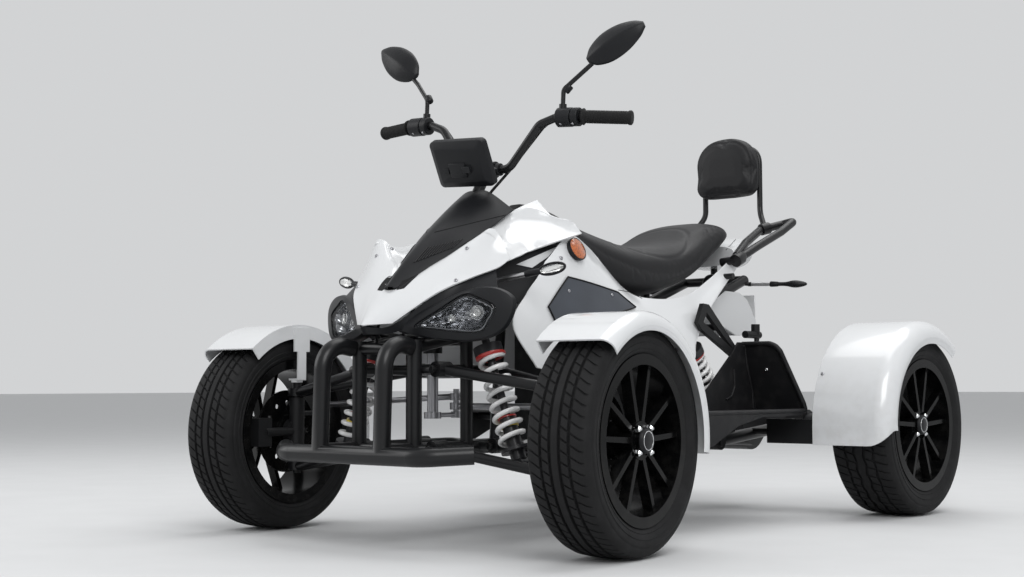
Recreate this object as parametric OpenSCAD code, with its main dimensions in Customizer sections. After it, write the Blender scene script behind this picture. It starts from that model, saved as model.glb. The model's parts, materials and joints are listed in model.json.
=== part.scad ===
// Electric quad bike: four road wheels with mudguards, raked handlebar, saddle with a backrest.
// Millimetres. +X is the rider's left, -Y is the front, +Z is up and the ground is Z = 0.
// Body shapes are placed by station, the distance behind the front axle.

/* [Wheels] */
// Distance between the front and rear axles
wheelbase = 1440; // [1400:5:1500]
// Distance between the middles of the front tyres
track_front = 1160; // [1130:5:1200]
// Distance between the middles of the rear tyres
track_rear = 1150; // [1130:5:1200]
// Outer radius of a front tyre
tyre_r_front = 265; // [260:1:268]
// Outer radius of a rear tyre
tyre_r_rear = 268; // [262:1:272]
// Width of a front tyre
tyre_w_front = 162; // [156:1:164]
// Width of a rear tyre
tyre_w_rear = 186; // [176:1:190]
// Radius of the rim's outer lip
rim_lip_r = 195; // [190:1:198]
// Pairs of spokes in a rim
spoke_pairs = 5; // [4:1:6]
// Number of grooves round a tyre
tyre_grooves = 4; // [3:1:5]

/* [Steering] */
// How far the steering is turned to the left at rest, in degrees
steer_rest = 6; // [0:1:10]
// Lean of the steering column from upright, in degrees
rake = 30; // [28:1:32]
// Radius of the handlebar tube
bar_r = 11; // [10:0.5:12]
// Radius of a handlebar grip
grip_r = 17; // [15:0.5:19]
// Radius of the steering column
column_r = 15; // [13:0.5:17]
// Length of the steering arms and of the pitman arm
steer_arm = 100; // [95:1:104]

/* [Frame] */
// Radius of the frame tubes
frame_r = 17; // [15:0.5:19]
// Radius of the front bumper tube
bumper_r = 22; // [19:0.5:24]
// Radius of the suspension arm tubes
arm_r = 13; // [11:0.5:14]
// Radius of a kingpin
kingpin_r = 12; // [10:0.5:13]
// Radius of a wheel spindle
spindle_r = 16; // [14:0.5:18]
// Half the width of the battery case
battery_half_w = 95; // [85:1:100]
// Height of the battery case
battery_h = 300; // [280:2:310]

/* [Springs] */
// Outer radius of the coil springs
coil_r = 34; // [30:0.5:36]
// Radius of the spring wire
wire_r = 6; // [5:0.5:7]
// Turns in a front spring
coil_turns = 8; // [6:1:9]

/* [Body] */
// Thickness of the body panels
panel_t = 4; // [3:0.5:5]
// Half the width of the backrest pad
pad_half_w = 136; // [120:1:140]
// Height of the backrest pad
pad_h = 215; // [200:1:230]
// Thickness of the footwell moulding
footwell_t = 6; // [4:0.5:8]
// Gap between a mudguard and its tyre
guard_gap = 22; // [18:1:28]

/* [Fits] */
// Gap between seated pieces
seat_gap = 0.3; // [0.2:0.05:0.4]
// Running clearance round shafts and pins
run_gap = 0.3; // [0.2:0.05:0.4]

/* [Hidden] */
$fn = 48;
// How far the middle of the wheelbase lies behind the middle of the whole length
length_shift = 13;
front_y = -wheelbase / 2 + length_shift;
rear_y = wheelbase / 2 + length_shift;
half_front = track_front / 2;
half_rear = track_rear / 2;

// Kingpins stand upright this far inboard of the front tyres' middles
kingpin_in = 80;
kingpin_x = half_front - kingpin_in;
// A point on the steering column's axis, and the axis itself
bar_foot = [0, 214, 947];
column_axis = [0, sin(rake), cos(rake)];
// Height at which the raked column meets the upright pitman shaft
knee_z = 600;
function column_at(z) = bar_foot + column_axis * ((z - bar_foot.z) / cos(rake));
knee = column_at(knee_z);
tie_z = 330;
rod_r = 8;

// Vector helpers

function unit(v) = v / norm(v);
function flip(p) = [-p.x, p.y, p.z];
function turn_at(p, i) = acos(unit(p[i] - p[i - 1]) * unit(p[i + 1] - p[i]));

// Smooth curve through points: an end carries straight on
function pick(p, i) = i < 0 ? 2 * p[0] - p[1]
    : i >= len(p) ? 2 * p[len(p) - 1] - p[len(p) - 2]
    : p[i];
function blend4(a, b, c, d, t) = 0.5 * (2 * b + (c - a) * t + (2 * a - 5 * b + 4 * c - d) * t * t
    + (3 * b - a - 3 * c + d) * t * t * t);
function curve_at(p, u) = let (n = len(p) - 1, k = min(floor(u * n), n - 1))
    blend4(pick(p, k - 1), p[k], p[k + 1], pick(p, k + 2), u * n - k);
function loop_at(p, u) = let (n = len(p), k = floor(u * n) % n)
    blend4(p[(k + n - 1) % n], p[k], p[(k + 1) % n], p[(k + 2) % n], u * n - floor(u * n));

// Fine grid of points over a net of control points, or over the part of it between u0..u1 and v0..v1
function fine(net, nu, nv, u = [0, 1], v = [0, 1]) = [for (i = [0:nu]) [for (j = [0:nv])
    curve_at([for (row = net) curve_at(row, v[0] + (v[1] - v[0]) * j / nv)], u[0] + (u[1] - u[0]) * i / nu)]];
function grid_normal(g, i, j) = unit(cross(
    g[min(i + 1, len(g) - 1)][j] - g[max(i - 1, 0)][j],
    g[i][min(j + 1, len(g[0]) - 1)] - g[i][max(j - 1, 0)]));
function lifted(g, d) = [for (i = [0:len(g) - 1]) [for (j = [0:len(g[0]) - 1]) g[i][j] + d * grid_normal(g, i, j)]];
// A row given from the middle to the left becomes a whole row from left to right
function both_sides(h) = concat([for (k = [len(h) - 1:-1:1]) h[k]], [for (p = h) flip(p)]);

// Basic bodies

module both() {
    children();
    mirror([1, 0, 0]) children();
}

module along(a, b) {
    d = b - a;
    translate(a) rotate([0, acos(d.z / norm(d)), atan2(d.y, d.x)]) children();
}

module rod(a, b, r) {
    along(a, b) cylinder(h = norm(b - a), r = r);
}

// A bend laps over the straight tubes at both ends and is a hair fatter, so that they join as one solid
bend_lap = 1.5;
bend_swell = 0.15;

module elbow(a, p, b, r, bend) {
    ahead = unit(p - a);
    away = unit(b - p);
    inward = unit(away - ahead * (ahead * away));
    bent = acos(ahead * away);
    middle = p - ahead * bend * tan(bent / 2) + inward * bend;
    side = cross(-inward, ahead);
    lap = bend_lap / bend * 180 / PI;
    multmatrix([
        [-inward.x, ahead.x, side.x, middle.x],
        [-inward.y, ahead.y, side.y, middle.y],
        [-inward.z, ahead.z, side.z, middle.z]
    ]) rotate(-lap) rotate_extrude(angle = bent + 2 * lap) translate([bend, 0]) circle(r + bend_swell);
}

// Round tube through points, with bends of one radius
module bent_tube(p, r, bend) {
    last = len(p) - 1;
    cut = [for (i = [0:last]) i == 0 || i == last ? 0 : bend * tan(turn_at(p, i) / 2) - bend_lap];
    for (i = [0:last - 1]) {
        d = unit(p[i + 1] - p[i]);
        rod(p[i] + d * cut[i], p[i + 1] - d * cut[i + 1], r);
    }
    for (i = [1:1:last - 1]) elbow(p[i - 1], p[i], p[i + 1], r, bend);
}

// Curved sheet of even thickness, its outer face on the grid
module sheet(g, t) {
    m = len(g);
    n = len(g[0]);
    k = m * n;
    outer = [for (row = g) each row];
    inner = [for (row = lifted(g, -t)) each row];
    cells = [for (i = [0:m - 2]) for (j = [0:n - 2]) [i * n + j, i * n + j + 1, i * n + n + j + 1, i * n + n + j]];
    rim = concat(
        [for (i = [0:m - 2]) [i * n, i * n + n]],
        [for (j = [0:n - 2]) [k - n + j, k - n + j + 1]],
        [for (i = [m - 2:-1:0]) [i * n + 2 * n - 1, i * n + n - 1]],
        [for (j = [n - 2:-1:0]) [j + 1, j]]);
    polyhedron(concat(outer, inner), concat(
        [for (c = cells) each [[c[0], c[1], c[2]], [c[0], c[2], c[3]]]],
        [for (c = cells) each [[k + c[0], k + c[2], k + c[1]], [k + c[0], k + c[3], k + c[2]]]],
        [for (e = rim) each [[e[0], e[1], k + e[1]], [e[0], k + e[1], k + e[0]]]]));
}

// Closed body through rings of points that run anticlockwise as seen from its far end
module loft(rings) {
    m = len(rings);
    n = len(rings[0]);
    points = [for (ring = rings) each ring];
    ends = [for (ring = [rings[0], rings[m - 1]]) [for (c = [0:2]) [for (p = ring) p[c]] * [for (p = ring) 1 / n]]];
    polyhedron(concat(points, ends), concat(
        [for (j = [0:n - 1]) [m * n, j, (j + 1) % n]],
        [for (j = [0:n - 1]) [m * n + 1, m * n - n + (j + 1) % n, m * n - n + j]],
        [for (i = [0:m - 2]) for (j = [0:n - 1]) each let (a = i * n + j, b = i * n + (j + 1) % n)
            [[a, a + n, b + n], [a, b + n, b]]]));
}

// Ring across the body at a station: half width, top, bottom, and how square it is (2 is an ellipse)
function signed_pow(x, p) = sign(x) * pow(abs(x), p);
function body_ring(s, half_w, top, bottom, square, n) = [for (k = [0:n - 1]) let (a = 360 * k / n)
    [-half_w * signed_pow(cos(a), 2 / square), s,
        (top + bottom) / 2 + (top - bottom) / 2 * signed_pow(sin(a), 2 / square)]];

module coil(r, wire, turns, height) {
    per_turn = 10;
    sides = 5;
    steps = turns * per_turn;
    loft([for (k = [0:steps]) let (a = 360 * k / per_turn)
        [for (q = [0:sides - 1]) let (b = 360 * q / sides, w = r + wire * sin(b))
            [w * cos(a), w * sin(a), height * k / steps + wire * cos(b)]]]);
}

// Places in the vehicle

module at_front() {
    translate([0, front_y, 0]) children();
}

module at_rear() {
    translate([0, rear_y, 0]) children();
}

module bar_steered() {
    translate([0, front_y, 0] + bar_foot) rotate(a = steer_rest, v = column_axis) translate(-bar_foot) children();
}

module knuckle_steered(side) {
    translate([side * kingpin_x, front_y, 0]) rotate(steer_rest) children();
}

// Local frame of a wheel: origin at its middle, +X outboard
module front_wheel(side) {
    knuckle_steered(side) translate([side * kingpin_in, 0, tyre_r_front]) mirror([side < 0 ? 1 : 0, 0, 0]) children();
}

module rear_wheel(side) {
    translate([side * half_rear, rear_y, tyre_r_rear]) mirror([side < 0 ? 1 : 0, 0, 0]) children();
}

module about_x(angle = 360) {
    rotate([0, 90, 0]) rotate_extrude(angle = angle) children();
}

// Wheels

rim_seat_r = 178;
rim_wall = 8;
groove_w = 8;
groove_deep = 7;

module tyre(r, w) {
    shoulder = 26;
    side_in = 7;
    color("#1a1b1d") about_x() difference() {
        union() {
            translate([rim_seat_r + seat_gap, -w / 2 + side_in]) square([r - rim_seat_r - shoulder, w - 2 * side_in]);
            translate([rim_lip_r + 14, -w / 2]) square([r - rim_lip_r - 14 - shoulder, w]);
            translate([r - shoulder - 1, -w / 2 + shoulder]) square([shoulder + 1, w - 2 * shoulder]);
            for (e = [-1, 1]) translate([r - shoulder, e * (w / 2 - shoulder)]) circle(shoulder);
        }
        for (k = [0:tyre_grooves - 1])
            translate([r - groove_deep, (k - (tyre_grooves - 1) / 2) * (w - 2 * shoulder) / tyre_grooves - groove_w / 2])
                square([groove_deep + 1, groove_w]);
        for (e = [-1, 1]) translate([rim_seat_r, e * (w / 2 - side_in) - rim_wall - 1])
            square([rim_lip_r - rim_seat_r + 1, 2 * rim_wall + 2]);
    }
}

hub_r = 44;
hub_face = 64;
disc_r = 112;
disc_in = 42;
disc_t = 5;

module rim(w, has_disc) {
    lip = w / 2 - 7 - seat_gap;
    spoke_out = lip - 10;
    color("#121214") difference() {
        union() {
            about_x() {
                translate([rim_seat_r - rim_wall, -lip]) square([rim_wall, 2 * lip]);
                for (e = [-1, 1]) translate([rim_seat_r - rim_wall, e * (lip - rim_wall / 2) - rim_wall / 2])
                    square([rim_lip_r - rim_seat_r + rim_wall, rim_wall]);
                translate([0, -disc_in - 14]) square([hub_r, hub_face + disc_in + 14]);
                translate([0, hub_face]) square([30, 10]);
            }
            for (k = [0:spoke_pairs - 1], e = [-1, 1]) rotate([360 * k / spoke_pairs, 0, 0]) rim_spoke(e, spoke_out);
            if (has_disc) translate([-disc_in - disc_t / 2, 0, 0]) rotate([0, 90, 0]) cylinder(h = disc_t, r = disc_r);
        }
        translate([-disc_in - 15, 0, 0]) rotate([0, 90, 0]) cylinder(h = hub_face + disc_in + 5, r = spindle_r + run_gap);
        if (has_disc) for (k = [0:11]) rotate([30 * k, 0, 0]) translate([-disc_in - disc_t, 0, 78])
            rotate([0, 90, 0]) cylinder(h = 2 * disc_t, r = 7);
    }
}

// One slim spoke that leans towards its partner at the hub
module rim_spoke(e, reach) {
    foot = hub_r - 6;
    tip = rim_seat_r - rim_wall - 2;
    spread = 20;
    translate([reach - 15, 0, 0]) rotate([0, -90, 0]) linear_extrude(height = 26, center = true) polygon([
        [foot, e * 4], [foot, e * 18], [tip, e * (spread + 31)], [tip, e * (spread + 19)]]);
}

module tyre_fl() { front_wheel(1) tyre(tyre_r_front, tyre_w_front); }
module tyre_fr() { front_wheel(-1) tyre(tyre_r_front, tyre_w_front); }
module tyre_rl() { rear_wheel(1) tyre(tyre_r_rear, tyre_w_rear); }
module tyre_rr() { rear_wheel(-1) tyre(tyre_r_rear, tyre_w_rear); }
module rim_fl() { front_wheel(1) rim(tyre_w_front, true); }
module rim_fr() { front_wheel(-1) rim(tyre_w_front, true); }
module rim_rl() { rear_wheel(1) rim(tyre_w_rear, false); }
module rim_rr() { rear_wheel(-1) rim(tyre_w_rear, false); }

// Front end

ball_high = 372;
ball_low = 172;
arm_pivot_x = 135;
// Upper and lower arms: half spread of the inner pivots, their height, the height at the kingpin
ARMS = [[97, 428, ball_high], [110, 238, ball_low]];
eye_h = 22;
pivot_r = 9;
barrel_r = 19;
barrel_half = 24;
// Front spring legs, by their upper and lower pins
shock_top = [182, 0, 522];
shock_foot = [301, 0, 202];
shock_pin_r = 9;
shock_eye_half = 14;

module suspension_arms() {
    color("#1b1c1e") at_front() both() for (arm = ARMS) {
        ball = [kingpin_x, 0, arm[2]];
        low = arm[2] == ball_low;
        difference() {
            union() {
                for (e = [-1, 1]) {
                    pivot = [arm_pivot_x, e * arm[0], arm[1]];
                    rod(pivot, ball + [-20, e * 7, 0], arm_r);
                    translate(pivot - [0, barrel_half, 0]) rotate([-90, 0, 0]) cylinder(h = 2 * barrel_half, r = barrel_r);
                }
                translate(ball - [0, 0, eye_h / 2]) cylinder(h = eye_h, r = 25);
                if (low) rod(shock_foot - [0, 56, 0], shock_foot + [0, 56, 0], shock_pin_r);
            }
            translate(ball - [0, 0, eye_h]) cylinder(h = 2 * eye_h, r = kingpin_r + run_gap);
            for (e = [-1, 1]) translate([arm_pivot_x, e * arm[0] - 30, arm[1]]) rotate([-90, 0, 0])
                cylinder(h = 60, r = pivot_r + seat_gap);
        }
    }
}

// Knuckle: kingpin, spindle, steering arm and brake caliper

knuckle_top = 398;
knuckle_foot = 152;
caliper_gap = 6;

module knuckle(side) {
    color("#2b2c2f") knuckle_steered(side) mirror([side < 0 ? 1 : 0, 0, 0]) difference() {
        union() {
            translate([0, 0, knuckle_foot]) cylinder(h = knuckle_top - knuckle_foot, r = kingpin_r);
            translate([0, 0, ball_low + eye_h / 2 + 4]) cylinder(h = ball_high - ball_low - eye_h - 8, r = 21);
            translate([0, 0, tyre_r_front]) rotate([0, 90, 0]) cylinder(h = kingpin_in + hub_face - 20, r = spindle_r);
            translate([0, 0, tyre_r_front]) rotate([0, 90, 0]) cylinder(h = 22, r = 34);
            rod([0, 0, tie_z - 16], [0, steer_arm, tie_z - 16], 7);
            translate([0, steer_arm, tie_z - 25]) cylinder(h = 18, r = 16);
            translate([0, steer_arm, tie_z - 10]) cylinder(h = 30, r = rod_r);
            // Brake caliper, ahead of the axle
            translate([kingpin_in - disc_in - 30, -disc_r - 26, tyre_r_front - 38]) cube([60, 50, 76]);
            rod([0, 0, tyre_r_front], [kingpin_in - disc_in - 24, -disc_r + 4, tyre_r_front], 12);
        }
        translate([kingpin_in - disc_in - disc_t / 2 - caliper_gap, -disc_r - caliper_gap, tyre_r_front - 80])
            cube([disc_t + 2 * caliper_gap, 80, 160]);
    }
}

module knuckle_left() { knuckle(1); }
module knuckle_right() { knuckle(-1); }

// Mudguards: an arch of one section turned about the axle, with a lip over the tyre's outer edge

guard_ahead = 40;
guard_behind = 98;
guard_corner = 26;

// Section across an arch: radius outwards in x, across the tyre in y
module arch_section(r, inner, outer, lip_in, lip_out, t, corner) {
    difference() {
        union() {
            translate([r - corner, -inner]) square([corner + t, inner + outer - corner]);
            translate([r - corner, outer - corner]) circle(corner + t);
            translate([r - lip_out, outer - corner]) square([lip_out - corner, corner + t]);
            translate([r - lip_in, -inner - t]) square([lip_in + t, t]);
        }
        translate([0, -inner]) square([r, inner + outer - corner]);
        translate([r - corner, outer - corner]) circle(corner);
        translate([0, outer - corner - 1]) square([r - corner, corner + 1]);
    }
}

// Turns a section about the axle, from level behind it, up over the top and forwards
module guard_turn(angle) {
    rotate([90, 0, 90]) rotate_extrude(angle = angle) children();
}

stay_half = 30;

module front_fender(side) {
    r = tyre_r_front + guard_gap;
    half = tyre_w_front / 2 + 14;
    color("white") front_wheel(side) {
        rotate([90 - guard_behind, 0, 0]) guard_turn(guard_ahead + guard_behind)
            arch_section(r, half - 4, half, 34, 30, panel_t, guard_corner);
        fender_stay(half - 4 + panel_t, r);
    }
}

// Stay from the mudguard's inner lip down to the top of the knuckle
module fender_stay(lip, r) {
    plate = 5;
    foot = knuckle_top - tyre_r_front;
    translate([-lip - plate + 1, -stay_half, r - 70]) cube([plate, 2 * stay_half, 66]);
    translate([-lip - plate + 1, -16, foot + 6]) cube([plate, 32, r - 70 - foot]);
    translate([-lip - plate + 1, -16, foot + 6]) cube([lip + plate - kingpin_in + 15, 32, plate]);
    translate([-kingpin_in, 0, foot + seat_gap]) cylinder(h = 8, r = 16);
}

module front_fender_left() { front_fender(1); }
module front_fender_right() { front_fender(-1); }

// Tie rods run from the knuckle arms to the pitman arm and stay parallel as they swing

tie_lift = 24;

module tie_rod(side) {
    turned = [-steer_arm * sin(steer_rest), steer_arm * cos(steer_rest), 0];
    outer = [side * kingpin_x, 0, tie_z + 6] + turned;
    inner = [knee.x, knee.y, tie_z + 6 + (side > 0 ? 0 : tie_lift)] + turned;
    color("#3a3b3e") at_front() difference() {
        union() {
            rod(outer + [-side * 14, 0, 0], inner + [side * 14, 0, 0], rod_r);
            translate(outer - [0, 0, 11]) cylinder(h = 22, r = 17);
            translate(inner - [0, 0, 9]) cylinder(h = 18, r = 17);
        }
        translate(outer - [0, 0, 20]) cylinder(h = 40, r = rod_r + run_gap);
        translate(inner - [0, 0, 20]) cylinder(h = 40, r = rod_r + run_gap);
    }
}

module tie_rod_left() { tie_rod(1); }
module tie_rod_right() { tie_rod(-1); }

// Upright pitman shaft below the column's knee

shaft_r = 14;
shaft_foot = tie_z - 24;
shaft_top = knee_z - 22;
sleeve_z = 470;
sleeve_h = 60;

module pitman() {
    color("#3a3b3e") at_front() translate([knee.x, knee.y, 0]) rotate(steer_rest) {
        translate([0, 0, shaft_foot]) cylinder(h = shaft_top - shaft_foot, r = shaft_r);
        translate([0, 0, shaft_foot]) cylinder(h = 16, r = 22);
        rod([0, 0, shaft_foot + 8], [0, steer_arm, shaft_foot + 8], 6);
        translate([0, steer_arm, shaft_foot]) cylinder(h = 16, r = 14);
        translate([0, steer_arm, shaft_foot]) cylinder(h = 74, r = rod_r);
        translate([0, 0, sleeve_z + sleeve_h + 1]) cylinder(h = 6, r = 22);
    }
}

// Spring legs: a damper with two perches and a coil between them
// Columns: upper pin, lower pin, distance of each perch from its pin, turns, across which axis the pins lie
rear_top = [202, 855, 525];
rear_foot = [202, 1047, 275];
LEGS = [
    [shock_top, shock_foot, 62, 40, coil_turns, 90],
    [rear_top, rear_foot, 62, 60, coil_turns - 1, 0]
];
perch_h = 8;

module damper(leg) {
    reach = norm(leg[0] - leg[1]);
    difference() {
        union() {
            along(leg[1], leg[0]) {
                translate([0, 0, 10]) cylinder(h = leg[3] + 70, r = 19);
                translate([0, 0, 60]) cylinder(h = reach - 66, r = 10);
                translate([0, 0, leg[3] - perch_h]) cylinder(h = perch_h, r = coil_r + 4);
                translate([0, 0, reach - leg[2]]) cylinder(h = perch_h + 14, r = coil_r + 2);
            }
            for (pin = [leg[0], leg[1]]) leg_eye(pin, leg[5], 18, 2 * shock_eye_half);
        }
        for (pin = [leg[0], leg[1]]) leg_eye(pin, leg[5], shock_pin_r + seat_gap, 120);
    }
}

module leg_eye(pin, about, r, w) {
    translate(pin) rotate([0, 0, about]) rotate([0, 90, 0]) cylinder(h = w, r = r, center = true);
}

module dampers() {
    color("#2a2a2c") at_front() both() for (leg = LEGS) damper(leg);
}

module springs() {
    color("white") at_front() both() for (leg = LEGS) {
        room = norm(leg[0] - leg[1]) - leg[2] - leg[3];
        along(leg[1], leg[0]) translate([0, 0, leg[3] + seat_gap + wire_r])
            coil(coil_r - wire_r, wire_r, leg[4], room - 2 * seat_gap - 2 * wire_r);
    }
}

// Frame

front_x = 95;
rail_x = 150;
rail_z = 225;
front_rail_z = 235;
seat_rail_x = 120;
seat_rail_z = 590;
bay_front = 420;
bay_rear = 960;
head_low = 640;
head_high = 760;
bulkhead = [-150, 36];
bulkhead_top = 480;
swing_pivot = [242, 940, 225];
swing_pin_r = 14;
rail_end = [112, 1330, 720];
// Lug through the tail panels that holds the grab rails
rail_lug = [216, 1098, 715];
lug_r = 9;

// Posts are a little fatter than the tubes that end inside them, cross tubes a little thinner
post_side_r = frame_r + 1;
cross_r = frame_r - 3;

// Seat rail from the front post back to the tail, and the point on it at a station
post_top = 560;
SEAT_RAIL = [[front_x, bulkhead[1], post_top], [seat_rail_x, bay_front, seat_rail_z],
    [seat_rail_x, bay_rear, seat_rail_z], rail_end];
function rail_at(s) = [for (c = [0:2]) lookup(s, [for (p = SEAT_RAIL) [p.y, p[c]]])];
shelf_rise = 35;
front_bend = 120;
seat_bend = 60;

// Main tubes of one side: lower rail, front post, seat rail, top shelf and bay posts
module side_tubes(grow = 0) {
    bent_tube([[front_x, bulkhead[0], front_rail_z], [front_x, 180, front_rail_z], [rail_x, 330, rail_z],
        [rail_x, bay_rear + 40, rail_z]], frame_r + grow, front_bend);
    translate([front_x, bulkhead[0], front_rail_z - post_side_r - 1])
        cylinder(h = bulkhead_top - front_rail_z + 2 * post_side_r + 2, r = post_side_r + grow);
    bent_tube(concat([[front_x, bulkhead[1], front_rail_z]], SEAT_RAIL), frame_r - 1 + grow, seat_bend);
    rod([front_x, bulkhead[0], bulkhead_top], [front_x, bulkhead[1], bulkhead_top + shelf_rise], cross_r + grow);
    for (s = [bay_front, bay_rear]) rod([seat_rail_x, s, seat_rail_z], [rail_x, s, rail_z], cross_r + grow);
}

// One welded side of the frame with its arm pivots, spring leg pins and grab rail lug
module frame_side() {
    color("#1d1e20") at_front() {
        side_tubes();
        for (arm = ARMS, e = [-1, 1]) {
            translate([arm_pivot_x, e * arm[0] - 42, arm[1]]) rotate([-90, 0, 0]) cylinder(h = 84, r = pivot_r);
            for (k = [-1, 1])
                rod([front_x, e * arm[0] + k * 37, arm[1]], [arm_pivot_x + 3, e * arm[0] + k * 37, arm[1]], 11);
        }
        rod([front_x, -ARMS[0][0] - 48, ARMS[0][1]], [front_x, ARMS[0][0] + 48, ARMS[0][1]], 13);
        rod(shock_top - [0, 30, 0], shock_top + [0, 30, 0], shock_pin_r);
        for (e = [-1, 1]) rod([front_x, e * 24, bulkhead_top + 25], shock_top + [3, e * 24, 0], 10);
        rod([seat_rail_x, rear_top.y, seat_rail_z], rear_top - [30, 0, 0], 12);
        rod(rear_top - [34, 0, 0], rear_top + [20, 0, 0], shock_pin_r);
        rod([rail_x, swing_pivot.y, swing_pivot.z], swing_pivot + [32, 0, 0], swing_pin_r);
        bent_tube([[seat_rail_x - 4, rail_lug.y, 650], [seat_rail_x - 4, rail_lug.y, rail_lug.z], rail_lug], lug_r, 20);
    }
}

module frame_left() { frame_side(); }
module frame_right() { mirror([1, 0, 0]) frame_side(); }

// A tube across the frame between the same points of both sides
module across(p, r) {
    rod(flip(p), p, r);
}

// Cross tubes before their ends are cut to fit the side frames
module cross_blanks(grow = 0) {
    for (z = [front_rail_z, bulkhead_top]) across([front_x, bulkhead[0], z], cross_r + grow);
    for (s = BATTERY_RESTS) across([rail_x, s, rail_z], cross_r + grow);
    for (s = SEAT_RESTS) {
        across([seat_rail_x, s, seat_rail_z], cross_r + grow);
        rod([0, s, seat_rail_z], [0, s, under(SEAT, s) - seat_gap], rest_r + grow);
    }
    across([rail_x, swing_pivot.y, swing_pivot.z], swing_pin_r + grow);
    across(rail_end, cross_r + grow);
    rod([0, rail_end.y, rail_end.z], [0, rail_end.y, under(TAIL, rail_end.y) - seat_gap], rest_r + grow);
    // Sleeve of the pitman shaft and the tube that carries it
    translate([knee.x, knee.y, sleeve_z]) cylinder(h = sleeve_h, r = shaft_r + 10 + grow);
    across([front_x, bulkhead[1], 500], 12 + grow);
}

module cross_tubes() {
    color("#1d1e20") at_front() difference() {
        cross_blanks();
        both() side_tubes(seat_gap);
        translate([knee.x, knee.y, sleeve_z - 20]) cylinder(h = sleeve_h + 40, r = shaft_r + run_gap);
    }
}

// Steering head with its two braces and the backbone to the seat
module head_blanks(grow = 0) {
    rod(column_at(head_low), column_at(head_high), column_r + 12 + grow);
    for (e = [-1, 1]) {
        foot = rail_at(bulkhead[1] + 74);
        rod([e * foot.x, foot.y, foot.z], column_at(head_low + 40) + [e * 14, 0, 0], 12 + grow);
    }
    bent_tube([column_at(head_high - 30), [0, 300, 640], [0, SEAT_RESTS[0], seat_rail_z]], frame_r - 5 + grow, 90);
}

module steering_head() {
    color("#1d1e20") at_front() difference() {
        head_blanks();
        both() side_tubes(seat_gap);
        cross_blanks(seat_gap);
        rod(column_at(head_low - 30), column_at(head_high + 30), column_r + run_gap);
    }
}

module panel_stays() {
    color("#1d1e20") at_front() difference() {
        both() panel_pegs();
        both() side_tubes(seat_gap);
        cross_blanks(seat_gap);
        head_blanks(seat_gap);
    }
}

// Front bumper: a low bar with swept ends and two hoops

hoop_x = 106;
low_bar = [-271, 225];
bumper_reach = 323;

module front_bumper() {
    foot = bulkhead[0] - post_side_r - seat_gap;
    color("#17181a") at_front() {
        bent_tube([[-bumper_reach, -190, 231], [-235, low_bar[0], low_bar[1]], [235, low_bar[0], low_bar[1]],
            [bumper_reach, -190, 231]], bumper_r, 80);
        both() {
            bent_tube([[hoop_x, low_bar[0], low_bar[1]], [hoop_x, low_bar[0] + 10, 497], [hoop_x - 6, foot - 4, 482]],
                bumper_r - 1, 60);
            rod([front_x, low_bar[0], front_rail_z], [front_x, foot, front_rail_z], frame_r - 1);
        }
    }
}

// Body panels: nets of control points; panels are sheets over them

// Front hood with its two ears: rows from the nose to the back edge, each from the middle to the left
HOOD = [for (row = [
    [[0, -233, 535], [20, -221, 536], [40, -207, 537], [60, -192, 538]],
    [[0, -190, 578], [50, -160, 600], [100, -140, 606], [145, -125, 612]],
    [[0, -149, 616], [70, -100, 658], [140, -76, 672], [200, -60, 650]],
    [[0, -90, 648], [85, -45, 700], [170, -20, 735], [238, -12, 702]],
    [[0, -30, 668], [100, 7, 718], [198, 15, 775], [248, 25, 738]]
]) both_sides(row)];

// Wing behind each ear: rows from the front to the back corner, each from the outer edge inwards
WING = [
    [[246, 34, 706], [208, 30, 742], [150, 28, 740], [82, 18, 720]],
    [[257, 100, 726], [226, 92, 786], [165, 84, 800], [100, 82, 783]],
    [[264, 190, 752], [236, 188, 808], [186, 182, 846], [130, 184, 843]],
    [[258, 300, 782], [228, 288, 816], [190, 262, 850], [150, 250, 874]]
];

// Cowl between the wings: rows from its tip to the top edge
COWL = [for (row = [
    [[0, -146, 634], [10, -144, 633], [20, -140, 628]],
    [[0, -80, 705], [38, -62, 694], [66, -42, 676]],
    [[0, 0, 775], [46, 12, 764], [84, 26, 738]],
    [[0, 66, 826], [50, 72, 812], [102, 92, 776]],
    [[0, 126, 872], [50, 130, 858], [116, 146, 815]],
    [[0, 176, 902], [48, 178, 894], [124, 186, 842]]
]) both_sides(row)];

// Left side panel: rows from the top edge down, each from the front to the tail
SIDE = [
    [[236, 178, 702], [222, 290, 776], [202, 400, 766], [202, 560, 700],
        [204, 690, 642], [200, 860, 646], [186, 1010, 702], [168, 1190, 790]],
    [[250, 140, 660], [244, 290, 722], [236, 420, 690], [228, 570, 648],
        [222, 700, 606], [210, 870, 622], [194, 1015, 682], [172, 1195, 778]],
    [[262, 100, 615], [262, 270, 645], [262, 430, 600], [256, 580, 574],
        [246, 730, 545], [224, 880, 594], [206, 1005, 660], [175, 1195, 766]],
    [[280, 0, 535], [288, 240, 540], [285, 430, 500], [275, 590, 492],
        [262, 770, 484], [236, 870, 556], [216, 985, 636], [177, 1190, 756]],
    [[300, 66, 432], [300, 200, 412], [295, 430, 410], [286, 600, 424],
        [270, 790, 452], [246, 850, 514], [223, 960, 612], [178, 1180, 746]]
];

hood_grid = fine(HOOD, 12, 18);
wing_grid = fine(WING, 9, 6);
cowl_grid = fine(COWL, 12, 8);
side_grid = fine(SIDE, 8, 20);

// The hood is cut out for the cowl, with a joint line all round
joint_gap = 2;
cowl_room = lifted(fine([for (row = COWL) [for (p = row) p + [sign(p.x) * joint_gap, -joint_gap, 0]]], 12, 8), joint_gap);

module hood() {
    color("white") at_front() difference() {
        sheet(hood_grid, panel_t);
        sheet(cowl_room, 12 * panel_t);
    }
}

module upper_wings() {
    color("white") at_front() both() sheet(wing_grid, panel_t);
}

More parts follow.
